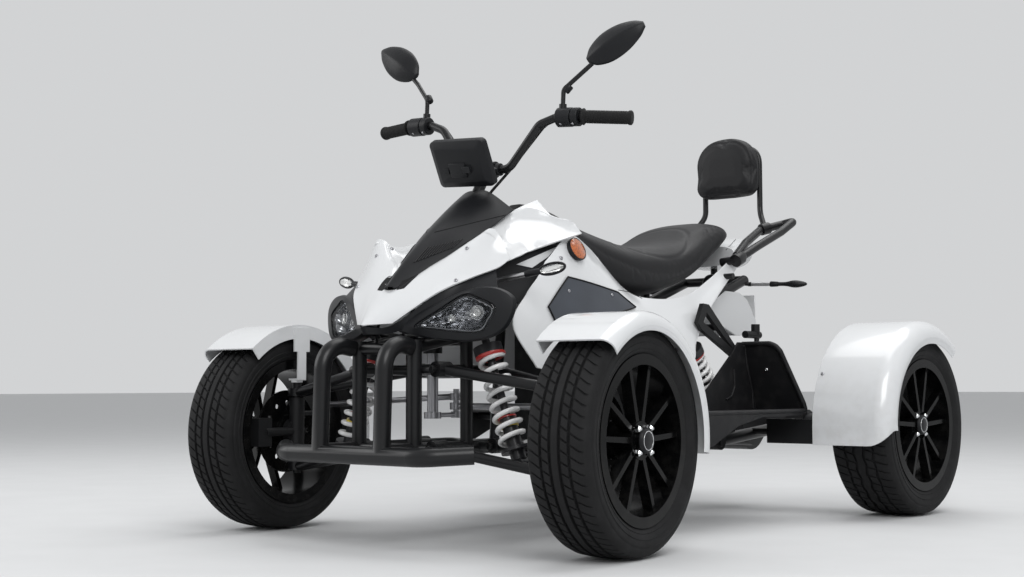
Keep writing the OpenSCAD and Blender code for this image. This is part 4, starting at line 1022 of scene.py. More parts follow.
@dataclass
class Bodywork:
    """White panels, black cowl, slate inlay and the panels round the tail, in mm from the front axle."""

    thick: float = 4 * MM
    joint: float = 2 * MM
    inlay_thick: float = 3 * MM
    inlay_gap: float = 0.9 * MM
    inlay_reach: Pair = (100 * MM, 600 * MM)
    liner_thick: float = 3 * MM
    bead_r: float = 2.2 * MM
    undertail_x: float = 146 * MM
    hood_net: Net = (
        ((0, -233, 535), (20, -221, 536), (40, -207, 537), (60, -192, 538)),
        ((0, -190, 578), (50, -160, 600), (100, -140, 606), (145, -125, 612)),
        ((0, -149, 616), (70, -100, 658), (140, -76, 672), (200, -60, 650)),
        ((0, -90, 648), (85, -45, 700), (170, -20, 735), (241, -12, 674)),
        ((0, -30, 668), (100, 7, 718), (198, 15, 775), (251, 25, 698)))
    wing_net: Net = (
        ((249, 20, 692), (199, 6, 764), (150, 2, 742), (96, -2, 708)),
        ((232, 88, 712), (178, 74, 752), (132, 66, 754), (90, 50, 742)),
        ((206, 160, 730), (147, 184, 794), (106, 152, 806), (83, 102, 785)),
        ((236, 224, 756), (171, 264, 814), (134, 243, 851), (110, 207, 845)),
        ((258, 300, 780), (228, 290, 815), (172, 290, 828), (127, 277, 876)))
    cowl_net: Net = (
        ((0, -146, 634), (10, -144, 633), (20, -140, 628)),
        ((0, -80, 705), (38, -62, 694), (66, -42, 676)),
        ((0, 0, 775), (46, 12, 764), (84, 26, 738)),
        ((0, 66, 826), (50, 72, 812), (102, 92, 776)),
        ((0, 126, 872), (50, 130, 858), (116, 146, 815)),
        ((0, 176, 902), (48, 178, 894), (124, 186, 842)))
    side_net: Net = (
        ((236, 178, 702), (222, 290, 774), (203, 400, 754), (205, 560, 650),
         (208, 690, 630), (200, 860, 646), (186, 1010, 702), (168, 1190, 790)),
        ((248, 134, 660), (244, 290, 722), (236, 420, 682), (230, 570, 616),
         (224, 700, 596), (210, 870, 622), (194, 1015, 682), (172, 1195, 778)),
        ((258, 78, 615), (262, 270, 645), (262, 430, 600), (256, 580, 566),
         (246, 730, 545), (224, 880, 594), (206, 1005, 660), (175, 1195, 766)),
        ((280, 0, 535), (288, 240, 540), (285, 430, 500), (275, 590, 492),
         (262, 770, 484), (236, 870, 556), (216, 985, 636), (177, 1190, 756)),
        ((300, 66, 432), (300, 200, 412), (295, 430, 410), (286, 600, 424),
         (270, 790, 452), (246, 850, 514), (223, 960, 612), (178, 1180, 746)))
    side_liner: Net = (
        ((150, 8, 706), (172, 120, 734), (206, 268, 768)),
        ((168, -12, 658), (190, 105, 662), (224, 226, 690)),
        ((186, -6, 612), (208, 65, 592), (236, 150, 604)))
    nose_liner: Net = (
        ((0, -168, 556), (50, -150, 562)), ((0, -110, 606), (88, -80, 618)), ((0, -30, 632), (110, -12, 648)))
    nose_skirt: Net = (
        ((0, -226, 532), (52, -186, 534), (136, -120, 607), (190, -56, 645), (232, -8, 670)),
        ((0, -214, 514), (58, -172, 520), (126, -124, 566), (206, -78, 606), (270, -44, 612)))
    inlay: Pairs = (
        (238, 664), (137, 584), (156, 536), (237, 560), (454, 582), (546, 599), (465, 636), (338, 652))
    undertail: Pairs = (
        (1069, 623), (1112, 652), (1160, 676), (1240, 674), (1282, 656), (1306, 630),
        (1336, 588), (1338, 545), (1215, 540), (1104, 578))
    back_wall: Pairs = ((1334, 545), (1338, 545), (1338, 671), (1334, 671))
    tail: Sequence[tuple[float, float, float, float]] = (
        (1246, 128, 826, 762), (1300, 124, 846, 762), (1380, 108, 862, 762), (1430, 92, 864, 806))

    def build(self) -> dict[str, bpy.types.Object]:
        """Makes the panels.

        Returns:
            The panels by the name of the node that each stands for.
        """
        hood_rows = [both_sides(row) for row in self.hood_net]
        cowl_rows = [both_sides(row) for row in self.cowl_net]
        wider = [[(x + np.sign(x) * 2, y - 2, z) for x, y, z in row] for row in cowl_rows]
        room = fine(at_front(wider), 36, 25)
        hood = cut(Shape().sheet(fine(at_front(hood_rows), 37, 55), self.thick).mesh("hood"),
                   Shape().sheet(room + self.joint * grid_normals(room), 12 * self.thick))
        side = fine(at_front(self.side_net), 33, 85)
        lifted = side + (self.inlay_thick + self.inlay_gap) * grid_normals(side)
        inlay = cut(Shape().sheet(lifted, self.inlay_thick).mesh("inlay"),
                    Shape().prism(side_view(self.inlay), *self.inlay_reach), "INTERSECT")
        panels = {
            "hood": (hood, Look.GLOSS_WHITE),
            "upper_wings": (self.pair(fine(at_front(self.wing_net), 28, 19)), Look.GLOSS_WHITE),
            "cowl": (Shape().sheet(fine(at_front(cowl_rows), 37, 25), self.thick).mesh("cowl"),
                     Look.COWL_BLACK),
            "side_panels": (self.pair(side), Look.GLOSS_WHITE),
            "side_inserts": (mesh_shape(inlay).flipped().mesh("mirrored"), Look.SLATE),
            "tail_cover": (self.tail_shape().mesh("tail"), Look.GLOSS_WHITE)}
        made = {}
        for node, (mesh, look) in panels.items():
            made[node] = finish_piece(mesh, node + "_skin", CHASSIS, look, 42.0)
            soft_edge(made[node], 0.8 * MM)
            stands_for(made[node], node)
        self.hidden_panels()
        self.trim(made["side_inserts"])
        return made

    def pair(self, rows: np.ndarray) -> bpy.types.Mesh:
        """A sheet on the left and its copy on the right."""
        return Shape().sheet(rows, self.thick).flipped().mesh("pair")

    def tail_shape(self) -> Shape:
        """The rounded box behind the saddle."""
        return Shape().loft([body_ring(*row, 3.0, 56) for row in resample(self.tail, 19)])

    def hidden_panels(self) -> None:
        """Black liners below the hood and wings, and the white panel under the tail."""
        liner = Shape().sheet(fine(at_front(self.side_liner), 13, 13), self.liner_thick).flipped()
        for net, rows, columns in ((self.nose_liner, 13, 13), (self.nose_skirt, 9, 57)):
            liner.sheet(fine(at_front([both_sides(row) for row in net]), rows, columns), self.liner_thick)
        liner.piece("nose_liner", CHASSIS, Look.COWL_BLACK)
        outer = self.undertail_x + self.thick
        walls = Shape().prism(side_view(self.undertail), self.undertail_x, outer).flipped()
        walls.prism(side_view(self.back_wall), 3 * MM - outer, outer - 3 * MM)
        soft_edge(walls.piece("undertail_panel", CHASSIS, Look.GLOSS_WHITE, 30.0), 1.5 * MM)

    def trim(self, inlay: bpy.types.Object) -> None:
        """A black bead round each slate inlay."""
        bead = Shape()
        for loop in outer_loops(inlay.data):
            bead.tube(loop + loop[:1], self.bead_r, 8)
        bead.piece("inlay_bead", CHASSIS, Look.DARK_SEAM_AND_SHADE, 60.0)


def body_ring(s: float, half: float, top: float, bottom: float, square: float, n: int) -> list[Point]:
    """A ring across the body.

    Args:
        s: distance behind the front axle in mm.
        half: half the width in mm.
        top: height of the top in mm.
        bottom: height of the underside in mm.
        square: how square the ring is; 2 is an ellipse.
        n: number of points.

    Returns:
        Points of the ring in metres.
    """
    def power(value: float) -> float:
        """A signed power."""
        return math.copysign(abs(value) ** (2 / square), value)

    ring = [(-half * power(math.cos(a)), s, (top + bottom) / 2 + (top - bottom) / 2 * power(math.sin(a)))
            for a in (2 * math.pi * k / n for k in range(n))]
    return [tuple(p) for p in at_front(ring)]


def outer_loops(mesh: bpy.types.Mesh, hard: float = 50.0, outboard: float = 0.6,
                least: int = 12) -> list[list[Vector]]:
    """The outlines of the faces of a sheet that look outboard.

    Args:
        mesh: a thin sheet on each side of the vehicle.
        hard: the least turn of a hard edge, in degrees.
        outboard: the least part of a face's normal that points outboard.
        least: loops of no more points than this are left out.

    Returns:
        Loops of points along the hard edges of the outer faces.
    """
    work = bmesh.new()
    work.from_mesh(mesh)
    ahead: dict[bmesh.types.BMVert, list[bmesh.types.BMVert]] = {}
    for edge in work.edges:
        if len(edge.link_faces) != 2 or edge.calc_face_angle() < math.radians(hard):
            continue
        sides = [(face.normal.x, face.calc_center_median().x) for face in edge.link_faces]
        if any(way * x > outboard * abs(x) for way, x in sides):
            for a, b in (edge.verts, reversed(edge.verts)):
                ahead.setdefault(a, []).append(b)
    loops = []
    left = set(ahead)
    while left:
        here = min(left, key=lambda vert: vert.index)
        loop = []
        while here is not None:
            left.discard(here)
            loop.append(here.co.copy())
            here = next((vert for vert in ahead[here] if vert in left), None)
        if len(loop) > least:
            loops.append(loop)
    work.free()
    return loops


@dataclass
class Headlamps:
    """Black brows, faceted bowls, bulbs and clear lenses, in mm from the front axle."""

    sides: int = 72
    lens: Sequence[Point] = (
        (104, -156, 533), (150, -129, 568), (209, -99, 606), (247, -83, 596),
        (283, -70, 574), (274, -77, 544), (246, -91, 514), (136, -142, 524))
    brow: Sequence[Point] = (
        (52, -176, 532), (128, -138, 578), (215, -92, 621), (286, -64, 622),
        (328, -50, 588), (306, -66, 522), (232, -101, 494), (104, -156, 508))
    lens_profile: Sequence[tuple[float, float, int]] = (
        (0.02, 9.2, 0), (0.3, 8.7, 0), (0.55, 7.2, 0), (0.8, 4.6, 0), (0.94, 1.8, 0), (1, 0, 0),
        (1, -3, 0), (0.94, -1.2, 0), (0.8, 1.6, 0), (0.55, 4.2, 0), (0.3, 5.7, 0), (0.02, 6.2, 0))
    housing_profile: Sequence[tuple[float, float, int]] = (
        (0.2, -62, 0), (0.7, -46, 0), (0.93, -3.3, 0), (1.02, -3.3, 0), (1.03, 2.5, 0),
        (0.86, -0.5, 1), (0.95, -3.5, 1), (1, -12, 1), (0.97, -24, 1), (0.86, -44, 1), (0.5, -68, 0))
    bowl_profile: Sequence[tuple[float, float, int]] = (
        (0.1, -59, 0), (0.35, -52, 0), (0.6, -42, 0), (0.75, -26, 0), (0.86, -6, 0),
        (0.89, -6, 0), (0.63, -45, 0), (0.1, -61.7, 0))
    bulbs_at: Pairs = ((0.5, 15.0), (-0.42, 8.0))
    bulb_depth: float = 40.0
    holder_profile: Pairs = ((0, 0), (0, 1), (22, 1.25), (24, 1.15), (18, 0.8), (18, 0))
    dome_profile: Pairs = ((17, 0), (17, 0.78), (21, 0.7), (25, 0.45), (26.5, 0))

    def __post_init__(self) -> None:
        """Works out the lamp's middle and the way that it faces."""
        self.outline = np.array(self.lens, float)
        self.middle = self.outline.mean(0)
        facing = np.cross(self.outline[4] - self.outline[0], self.outline[2] - self.outline[6])
        self.face = facing / np.linalg.norm(facing)

    def ring(self, share: float, forward: float, brow: int) -> np.ndarray:
        """The lens or brow outline, shrunk about the middle and moved forward."""
        line = resample(self.brow if brow else self.lens, self.sides, closed=True)
        return at_front(self.middle + share * (line - self.middle) + forward * self.face)

    def build(self) -> None:
        """Makes both lamps."""
        for node, profile, look, smooth in (
                ("headlamp_housings", self.housing_profile, Look.COWL_BLACK, 34.0),
                ("headlamp_reflectors", self.bowl_profile, Look.BOWL, 60.0),
                ("headlamp_lenses", self.lens_profile, Look.LAMP_LENS, 50.0)):
            shape = Shape().loft([self.ring(*row) for row in profile]).flipped()
            stands_for(shape.piece(node + "_skin", CHASSIS, look, smooth), node)
        self.bulbs()

    def bulbs(self) -> None:
        """A main and a side bulb, each a dome in a bright holder."""
        tip = self.outline[3:6].mean(0) - self.middle
        for name, profile, look, smooth in (("lamp_rings", self.holder_profile, Look.CHROME, 40.0),
                                            ("lamp_bulbs", self.dome_profile, Look.CLEAR_LENS, 60.0)):
            shape = Shape()
            for share, size in self.bulbs_at:
                spot = Vector(at_front(self.middle + share * tip - self.bulb_depth * self.face))
                turned = mm(*((x, size * part) for x, part in profile))
                shape.lathe(turned, turned_to(spot, Vector(self.face)), 28)
            shape.flipped().piece(name, CHASSIS, look, smooth)


@dataclass
class Cushion:
    """A padded piece, swelled by a cloth simulation."""

    node: str
    name: str
    fill: float = 0.7
    shrink: float = 3.5 * MM
    cap: float = 6.0 * MM
    voxel: float = 5.0 * MM
    pressure: float = 4.0
    frames: int = 20
    passes: int = 6

    def form(self) -> Shape:
        """The form before it is stuffed."""
        raise NotImplementedError

    def held(self, normal: Vector) -> bool:
        """Whether a point rests on what carries the cushion, by its normal."""
        raise NotImplementedError

    def sewn(self, spot: Vector, normal: Vector) -> float:
        """How far a seam or crown moves a point along its normal."""
        raise NotImplementedError

    def build(self) -> bpy.types.Object:
        """Makes the cushion.

        Returns:
            The cushion, which stands for its node.
        """
        mesh = self.form().mesh(self.name)
        for vert, normal in zip(mesh.vertices, [v.normal.copy() for v in mesh.vertices]):
            vert.co -= normal * self.shrink
        mesh = baked(mesh, self.remesh)
        self.swell(mesh)
        mesh.update()
        moves = [(v.normal.copy(), self.sewn(v.co, v.normal)) for v in mesh.vertices]
        for vert, (normal, move) in zip(mesh.vertices, moves):
            vert.co += normal * move
        piece = finish_piece(mesh, self.name, CHASSIS, Look.VINYL, 180.0)
        finer = piece.modifiers.new("finer", "SUBSURF")
        finer.levels = finer.render_levels = 1
        stands_for(piece, self.node)
        return piece

    def remesh(self, stand_in: bpy.types.Object) -> None:
        """Adds an even remesh and a light smoothing."""
        even = stand_in.modifiers.new("even", "REMESH")
        even.mode, even.voxel_size = "VOXEL", self.voxel
        ease = stand_in.modifiers.new("ease", "SMOOTH")
        ease.factor, ease.iterations = 0.5, self.passes

    def swell(self, mesh: bpy.types.Mesh) -> None:
        """Blows the mesh up under pressure and caps how far each point moves."""
        scene = bpy.context.scene
        stuffed = bpy.data.objects.new("stuffed", mesh.copy())
        scene.collection.objects.link(stuffed)
        pins = stuffed.vertex_groups.new(name="held")
        pins.add([v.index for v in mesh.vertices if self.held(v.normal)], 1.0, "REPLACE")
        cloth = stuffed.modifiers.new("cloth", "CLOTH")
        cloth.settings.quality = 4
        cloth.settings.mass = 0.3
        cloth.settings.use_pressure = True
        cloth.settings.uniform_pressure_force = self.pressure
        cloth.settings.effector_weights.gravity = 0.0
        cloth.settings.vertex_group_mass = "held"
        for moment in range(1, self.frames + 1):
            scene.frame_set(moment)
        graph = bpy.context.evaluated_depsgraph_get()
        swelled = stuffed.evaluated_get(graph).data
        before, after = (np.array([v.co for v in m.vertices]) for m in (mesh, swelled))
        move = after - before
        reach = np.linalg.norm(move, axis=1, keepdims=True)
        after = before + move * np.minimum(1.0, self.cap / np.maximum(reach, 1e-9))
        bpy.data.objects.remove(stuffed)
        scene.frame_set(1)
        mesh.vertices.foreach_set("co", after.ravel())
        LOG.info("%s swelled by up to %.1f mm", self.name, min(self.cap, float(reach.max())) / MM)


@dataclass
class Saddle(Cushion):
    """The rider's saddle with its dished top."""

    node: str = "seat"
    name: str = "saddle_pad"
    rows: Sequence[tuple[float, float, float, float]] = (
        (334, 52, 884, 816), (420, 96, 866, 722), (520, 146, 824, 656), (660, 178, 792, 624),
        (800, 184, 794, 642), (950, 176, 818, 684), (1080, 156, 872, 744), (1180, 138, 892, 802),
        (1240, 112, 880, 836))
    dish_middle: float = 838.0
    dish_half: Pair = (168.0, 232.0)
    dish_depth: float = 7.0 * MM
    seam_depth: float = 2.6 * MM
    seam_width: float = 0.030

    def form(self) -> Shape:
        """Rings along the saddle."""
        return Shape().loft([body_ring(*row, 3.0, 72) for row in resample(self.rows, 46)])

    def held(self, normal: Vector) -> bool:
        """The underside is on the frame's posts."""
        return normal.z < -0.35

    def sewn(self, spot: Vector, normal: Vector) -> float:
        """The seam round the dish, and the dish itself."""
        if normal.z < 0.1:
            return 0.0
        s = (spot.y - FRONT_AXLE) / MM
        out = math.hypot(spot.x / MM / self.dish_half[0], (s - self.dish_middle) / self.dish_half[1])
        seam = math.exp(-((out - 1.0) / self.seam_width) ** 2)
        hollow = max(0.0, 1.0 - out * out) * min(1.0, (1.0 - out) * 6.0 + 0.3)
        return -self.seam_depth * seam - self.dish_depth * hollow


@dataclass
class BackPad(Cushion):
    """The backrest's pad with a sewn border."""

    node: str = "backrest_pad"
    name: str = "backrest_cushion"
    half: float = 115.0
    high: float = 198.0
    foot: float = 998.0
    back: float = 1436.7
    low_r: float = 40.0
    high_r: float = 92.0
    edge_profile: Pairs = ((0, 6), (3, 1.5), (8, 0), (30, 0), (40, 3), (45, 8), (48, 17))
    border: float = 17.0
    crown: float = 3.0 * MM
    seam_depth: float = 2.0 * MM
    seam_width: float = 4.0
    voxel: float = 4.0 * MM

    def outline(self) -> list[Pair]:
        """The pad's outline in mm across and up, with wide upper corners."""
        low, high = self.foot + self.low_r, self.foot + self.high - self.high_r
        wide, narrow = self.half - self.low_r, self.half - self.high_r
        return arc_corners(((wide, low, self.low_r), (narrow, high, self.high_r),
                            (-narrow, high, self.high_r), (-wide, low, self.low_r)), 12)

    def form(self) -> Shape:
        """A slab with its front and back edges rounded."""
        middle = np.array([0.0, self.foot + self.high / 2])
        line = np.array(self.outline())
        rings = []
        for depth, inset in self.edge_profile:
            size = np.abs(line - middle).max(0)
            ring = middle + (line - middle) * (1 - inset / size)
            rings.append([tuple(p) for p in at_front([(x, self.back - depth, z) for x, z in ring])])
        return Shape().loft(rings)

    def held(self, normal: Vector) -> bool:
        """The back is on the hoop's board."""
        return normal.y > 0.6

    def sewn(self, spot: Vector, normal: Vector) -> float:
        """A seam inside the border and a crowned middle."""
        if normal.y > -0.3:
            return 0.0
        line = np.array(self.outline())
        edges = np.roll(line, -1, 0) - line
        lengths = np.maximum(np.linalg.norm(edges, axis=1, keepdims=True), 1e-9)
        inward = np.stack([-edges[:, 1], edges[:, 0]], 1) / lengths
        here = np.array([spot.x / MM, spot.z / MM])
        inset = float(np.min(np.sum((here - line) * inward, 1)))
        seam = math.exp(-((inset - self.border) / self.seam_width) ** 2)
        return -self.seam_depth * seam + self.crown * min(1.0, max(0.0, inset - self.border) / 50.0)


@dataclass
class RearRails:
    """Leaf-shaped grab rails and the backrest's hoop, in mm from the front axle."""

    rail_r: float = 13 * MM
    rail_bend: float = 17 * MM
    post_r: float = 9 * MM
    post_bend: float = 60 * MM
    rail: Sequence[Point] = (
        (150, 1136, 762), (204, 1142, 768), (208, 1250, 815), (206, 1400, 872), (208, 1484, 914),
        (166, 1480, 906), (132, 1400, 884), (160, 1262, 830), (190, 1160, 782))
    lug_profile: Pairs = ((-34, 0), (-34, 13), (-20, 20), (12, 20), (12, 0))
    clamp_share: float = 0.8
    clamp_half: float = 16 * MM
    clamp_wall: float = 6 * MM
    post_x: float = 104
    post_y: float = 1446
    knee: float = 946
    top: float = 1162
    bar: float = 1093

    def build(self) -> None:
        """Makes the rails, their lugs, the hoop and its clamps."""
        line = at_front(self.rail)
        rails = Shape().tube(rounded_path(line, self.rail_bend), self.rail_r, 20)
        lug = turned_to(Vector(line[1]), Vector(line[1] - line[2]))
        rails.lathe(mm(*self.lug_profile), lug, 28)
        pair = rails.flipped().piece("grab_rail_tubes", CHASSIS, Look.FRAME_BLACK)
        stands_for(soft_edge(pair, 1.5 * MM), "grab_rails")
        way = Vector(line[6] - line[5]).normalized()
        hold = Vector(line[5] + (line[6] - line[5]) * self.clamp_share)
        upright = at_front([(self.post_x, self.post_y, z) for z in (self.knee, self.top)])
        leg = [hold, *(Vector(p) for p in upright)]
        other = [Vector((-p.x, p.y, p.z)) for p in reversed(leg)]
        hoop = Shape().tube(rounded_path(leg + other, self.post_bend, 12), self.post_r, 18)
        ends = at_front([(self.post_x, self.post_y, self.bar), (-self.post_x, self.post_y, self.bar)])
        hoop.tube(ends, self.post_r - 2 * MM, 14)
        grip = way * self.clamp_half
        clamps = Shape().tube([hold - grip, hold + grip], self.rail_r + self.clamp_wall, 24).flipped()
        hoop.add(np.concatenate(clamps.points), clamps.faces)
        frame_piece = hoop.piece("backrest_hoop", CHASSIS, Look.FRAME_BLACK)
        stands_for(soft_edge(frame_piece, 1.5 * MM), "backrest_frame")


STEER_REST = math.radians(6)
COLUMN_WAY = Vector((0, math.sin(math.radians(30)), math.cos(math.radians(30))))
BAR_FOOT = Vector(at_front((0, 214, 947)))
STEERED = (Matrix.Translation(BAR_FOOT) @ Matrix.Rotation(STEER_REST, 4, COLUMN_WAY)
           @ Matrix.Translation(-BAR_FOOT))
STEERING = "steering"


@dataclass
class Controls:
    """Display, mirrors, grips, switch pods and cables on the handlebar, in mm from the front axle."""

    dash_half: Pair = (88, 65)
    dash_mid: Point = (-4, 118, 966)
    dash_tilt: float = 30.0
    dash_round: float = 13
    dash_least_round: float = 4
    case_profile: Pairs = ((15, 1.5), (13.5, 0), (-1, 0), (-4, 1), (-14, 17), (-15, 20))
    glass_profile: Pairs = ((14.6, 7), (15.5, 7), (15.8, 8))
    bosses: Sequence[tuple[float, float, float, float, float]] = (
        (-6, -12, 26, 20, 6), (-44, -14, 8, 8, 4), (24, -10, 12, 9, 9))
    boss_seat: float = 14
    dash_screw: Point = (62, -11, 41)
    bracket_x: float = 40
    bracket_r: float = 7 * MM
    bracket_end: Pair = (12, -20)
    clamp_r: float = 17 * MM
    clamp_half: float = 6
    mirror_mid: Point = (357, 270, 1282)
    mirror_way: Point = (74, 12, 42)
    mirror_rows: Sequence[tuple[float, float, float, float]] = (
        (-86, 9, 8, 5), (-66, 30, 16, 8), (-26, 44, 24, 9), (22, 42, 23, 9), (64, 27, 15, 8), (88, 9, 6, 4))
    mirror_lean: Point = (0.05, 1, -0.12)
    mirror_root: float = 70 * MM
    knuckle: Pairs = ((-11, 0), (-11, 8), (-8, 10), (8, 10), (11, 8), (11, 0))
    grip_r: float = 16.4
    grip_ribs: int = 24
    rib_high: float = 0.7
    grip_over: float = 9 * MM
    flange: Pairs = ((0, 0), (0, 21), (4, 22), (6, 20))
    grip_end: Pairs = ((-9, 18.5), (-3, 19), (0, 16), (0, 0))
    bar: Sequence[Point] = (
        (394, 276, 1087), (287, 242, 1091), (205, 236, 1092), (158, 231, 1076), (72, 222, 960.86))
    cable_r: float = 4 * MM
    cable_bend: float = 24 * MM
    cable_aside: float = 17 * MM
    cable_heights: Pair = (900, 800)
    cable_shifts: Sequence[Point] = ((-2, 20, -6), (-10, 22, 2), (24, 24, 0), (22, 22, 0))
    pod_r: Pair = (24.5 * MM, 25.5 * MM)
    pod_split: Pair = (20 * MM, 22 * MM)
    pod_bore: float = 12 * MM
    pod_edge: float = 2 * MM
    pod_reach: float = 24 * MM
    button: Pairs = ((0, 0), (0, 5), (4, 5), (5, 4), (5, 0))

    def build(self) -> None:
        """Makes every piece on the bar."""
        self.display()
        self.mirrors()
        self.grips()
        self.cables()
        self.pods()

    def slab(self, place: Matrix, profile: Pairs) -> Shape:
        """A plate of the tablet's outline.

        Args:
            place: the tablet's middle and lean.
            profile: depth and inset of each ring, in mm.

        Returns:
            The closed plate.
        """
        return Shape().loft([[place @ (Vector((x, y, z)) * MM) for x, z in self.outline(inset)]
                             for y, inset in profile])

    def outline(self, inset: float) -> list[Pair]:
        """The tablet's outline in mm, inset by a distance."""
        r = max(self.dash_round - inset * 0.4, self.dash_least_round)
        w, h = (half - inset - r for half in self.dash_half)
        return arc_corners(((w, -h, r), (w, h, r), (-w, h, r), (-w, -h, r)), 6)

    def display(self) -> None:
        """The tablet with its bevelled back, glass, boss and brackets."""
        place = (STEERED @ Matrix.Translation(Vector(at_front(self.dash_mid)))
                 @ Matrix.Rotation(math.radians(self.dash_tilt), 4, "X"))
        case = self.slab(place, self.case_profile)
        for x, z, wide, high, deep in self.bosses:
            case.loft([[place @ (Vector((x + a * wide * k, -self.boss_seat - y, z + b * high * k)) * MM)
                        for a, b in ((-1, -1), (1, -1), (1, 1), (-1, 1))]
                       for y, k in ((0, 1.0), (deep - 1, 1.0), (deep, 0.9))])
        self.brackets(case)
        stands_for(soft_edge(case.piece("display_case", STEERING, Look.COWL_BLACK, 36.0), 1.2 * MM), "dash")
        self.slab(place, self.glass_profile).piece("display_glass_face", STEERING, Look.SCREEN, 40.0)
        screws = Shape()
        x, y, z = self.dash_screw
        for a, b in ((-1, -1), (-1, 1), (1, -1), (1, 1)):
            spot = turned_to(Vector((a * x, y, b * z)) * MM, Vector((0, -1, 0)))
            screws.lathe(bolt_profile(3.0 * MM), place @ spot, 12)
        screws.piece("display_screws", STEERING, Look.STEEL, 40.0)

    def brackets(self, case: Shape) -> None:
        """Two arms from the bar to the tablet, with their clamps."""
        middle = BAR_FOOT + COLUMN_WAY * 16 * MM
        dash = Vector(at_front(self.dash_mid))
        for e in (-1, 1):
            arm = (middle + Vector((e * self.bracket_x, 0, 0)) * MM,
                   dash + Vector((e * self.bracket_x, *self.bracket_end)) * MM)
            case.tube([STEERED @ p for p in arm], self.bracket_r, 14)
            sides = (self.bracket_x - self.clamp_half, self.bracket_x + self.clamp_half)
            case.tube([STEERED @ (middle + Vector((e * x, 0, 0)) * MM) for x in sides], self.clamp_r, 24)

    def mirrors(self) -> None:
        """Pointed heads with a crease along their backs, and their knuckles."""
        way = Vector(self.mirror_way).normalized()
        lean = Vector(self.mirror_lean)
        back = (lean - way * lean.dot(way)).normalized()
        across = back.cross(way)
        middle = Vector(at_front(self.mirror_mid))
        rings = []
        for along, high, front, rear in resample(self.mirror_rows, 30):
            ring = []
            for k in range(48):
                a = 2 * math.pi * k / 48
                c, s = math.cos(a), math.sin(a)
                deep = rear * s if s > 0 else -front * (0.55 * -s + 0.45 * (1 - abs(c)))
                ring.append(middle + (way * along + across * high * c + back * deep) * MM)
            rings.append(ring)
        heads = Shape().loft(rings).flipped().moved(STEERED)
        stands_for(heads.piece("mirror_shells", STEERING, Look.COWL_BLACK, 34.0), "mirror_heads")
        joints = Shape()
        for part in loose_parts("mirror_stems"):
            bend = Vector(part[np.argsort(part[:, 2])[len(part) // 2]])
            joints.lathe(mm(*self.knuckle), turned_to(bend, Rod.of(part).way), 20)
            top = Vector(part[np.argmax(part[:, 2])])
            head = middle - way * self.mirror_root
            head.x *= 1 if top.x > BAR_FOOT.x else -1
            joints.tube([top, (top + STEERED @ head) / 2, STEERED @ head], 7 * MM, 14)
        joints.piece("mirror_knuckles", STEERING, Look.COWL_BLACK, 40.0)

    def grips(self) -> None:
        """Ribbed sleeves with a flange at each end."""
        sleeves = Shape()
        for part in loose_parts("grips"):
            rod = Rod.of(part)
            inner, outer = sorted((rod.low, rod.high), key=lambda x: abs((rod.middle + rod.way * x).x))
            e = 1 if outer > inner else -1
            inner -= e * self.grip_over
            length, r = abs(outer - inner) / MM, self.grip_r
            step = (length - 26) / self.grip_ribs
            profile = [*self.flange, (9, r)]
            for k in range(self.grip_ribs):
                x = 12 + step * k
                profile += [(x, r), (x + 0.25 * step, r + self.rib_high),
                            (x + 0.65 * step, r + self.rib_high), (x + 0.9 * step, r)]
            profile += [(length - 12, r)] + [(length + x, radius) for x, radius in self.grip_end]
            sleeves.lathe([(inner + e * x, radius) for x, radius in mm(*profile)], rod.at(0.0), 36)
        stands_for(sleeves.piece("grip_sleeves", STEERING, Look.GRIP, 30.0), "grips")

    def cables(self) -> None:
        """A control cable on each side, from the pod down beside the column."""
        bar = [Vector(p) for p in at_front(self.bar)]
        way = (bar[1] - bar[2]).normalized()
        start = bar[2] + way * 8 * MM + Vector((-way.y, way.x, 0)).normalized() * self.cable_aside
        low = [BAR_FOOT + COLUMN_WAY * ((z * MM - BAR_FOOT.z) / COLUMN_WAY.z) for z in self.cable_heights]
        path = [start, start - way * 24 * MM]
        path += [spot + Vector(shift) * MM for spot, shift in zip(bar[3:] + low, self.cable_shifts)]
        cable = Shape().tube(rounded_path(path, self.cable_bend), self.cable_r, 12).flipped().moved(STEERED)
        cable.piece("control_cables", STEERING, Look.GRIP, 60.0)

    def pods(self) -> None:
        """Clamp halves, screws and buttons on each switch pod."""
        shells, buttons, screws = Shape(), Shape(), Shape()
        back, under = Vector((0, 1, 0.25)).normalized(), Vector((0, -0.6, -0.8))
        bore, edge = self.pod_bore, self.pod_edge
        for part in loose_parts("switch_pods"):
            rod = Rod.of(part)
            ends = (rod.low, rod.low + self.pod_split[0]), (rod.low + self.pod_split[1], rod.high)
            for (x0, x1), r in zip(ends, self.pod_r):
                half = [(x0, bore), (x0, r - edge), (x0 + edge, r),
                        (x1 - edge, r), (x1, r - edge), (x1, bore)]
                shells.lathe(half, rod.at(0.0), 20)
            start, whole = rod.middle + rod.way * rod.low, rod.way * (rod.high - rod.low)
            for k, share in enumerate((0.42, 0.62, 0.82)):
                spot = start + whole * share + back * self.pod_reach
                buttons.lathe(mm(*self.button), turned_to(spot, back), 8 + 4 * k)
            for share in (0.2, 0.75):
                spot = start + whole * share + under * self.pod_reach
                screws.lathe(bolt_profile(3.5 * MM), turned_to(spot, under), 12)
        halves = shells.piece("pod_shells", STEERING, Look.COWL_BLACK, 30.0)
        stands_for(soft_edge(halves, 1.0 * MM), "switch_pods")
        buttons.piece("pod_buttons", STEERING, Look.DAMPER_DARK, 40.0)
        screws.piece("pod_screws", STEERING, Look.STEEL, 40.0)


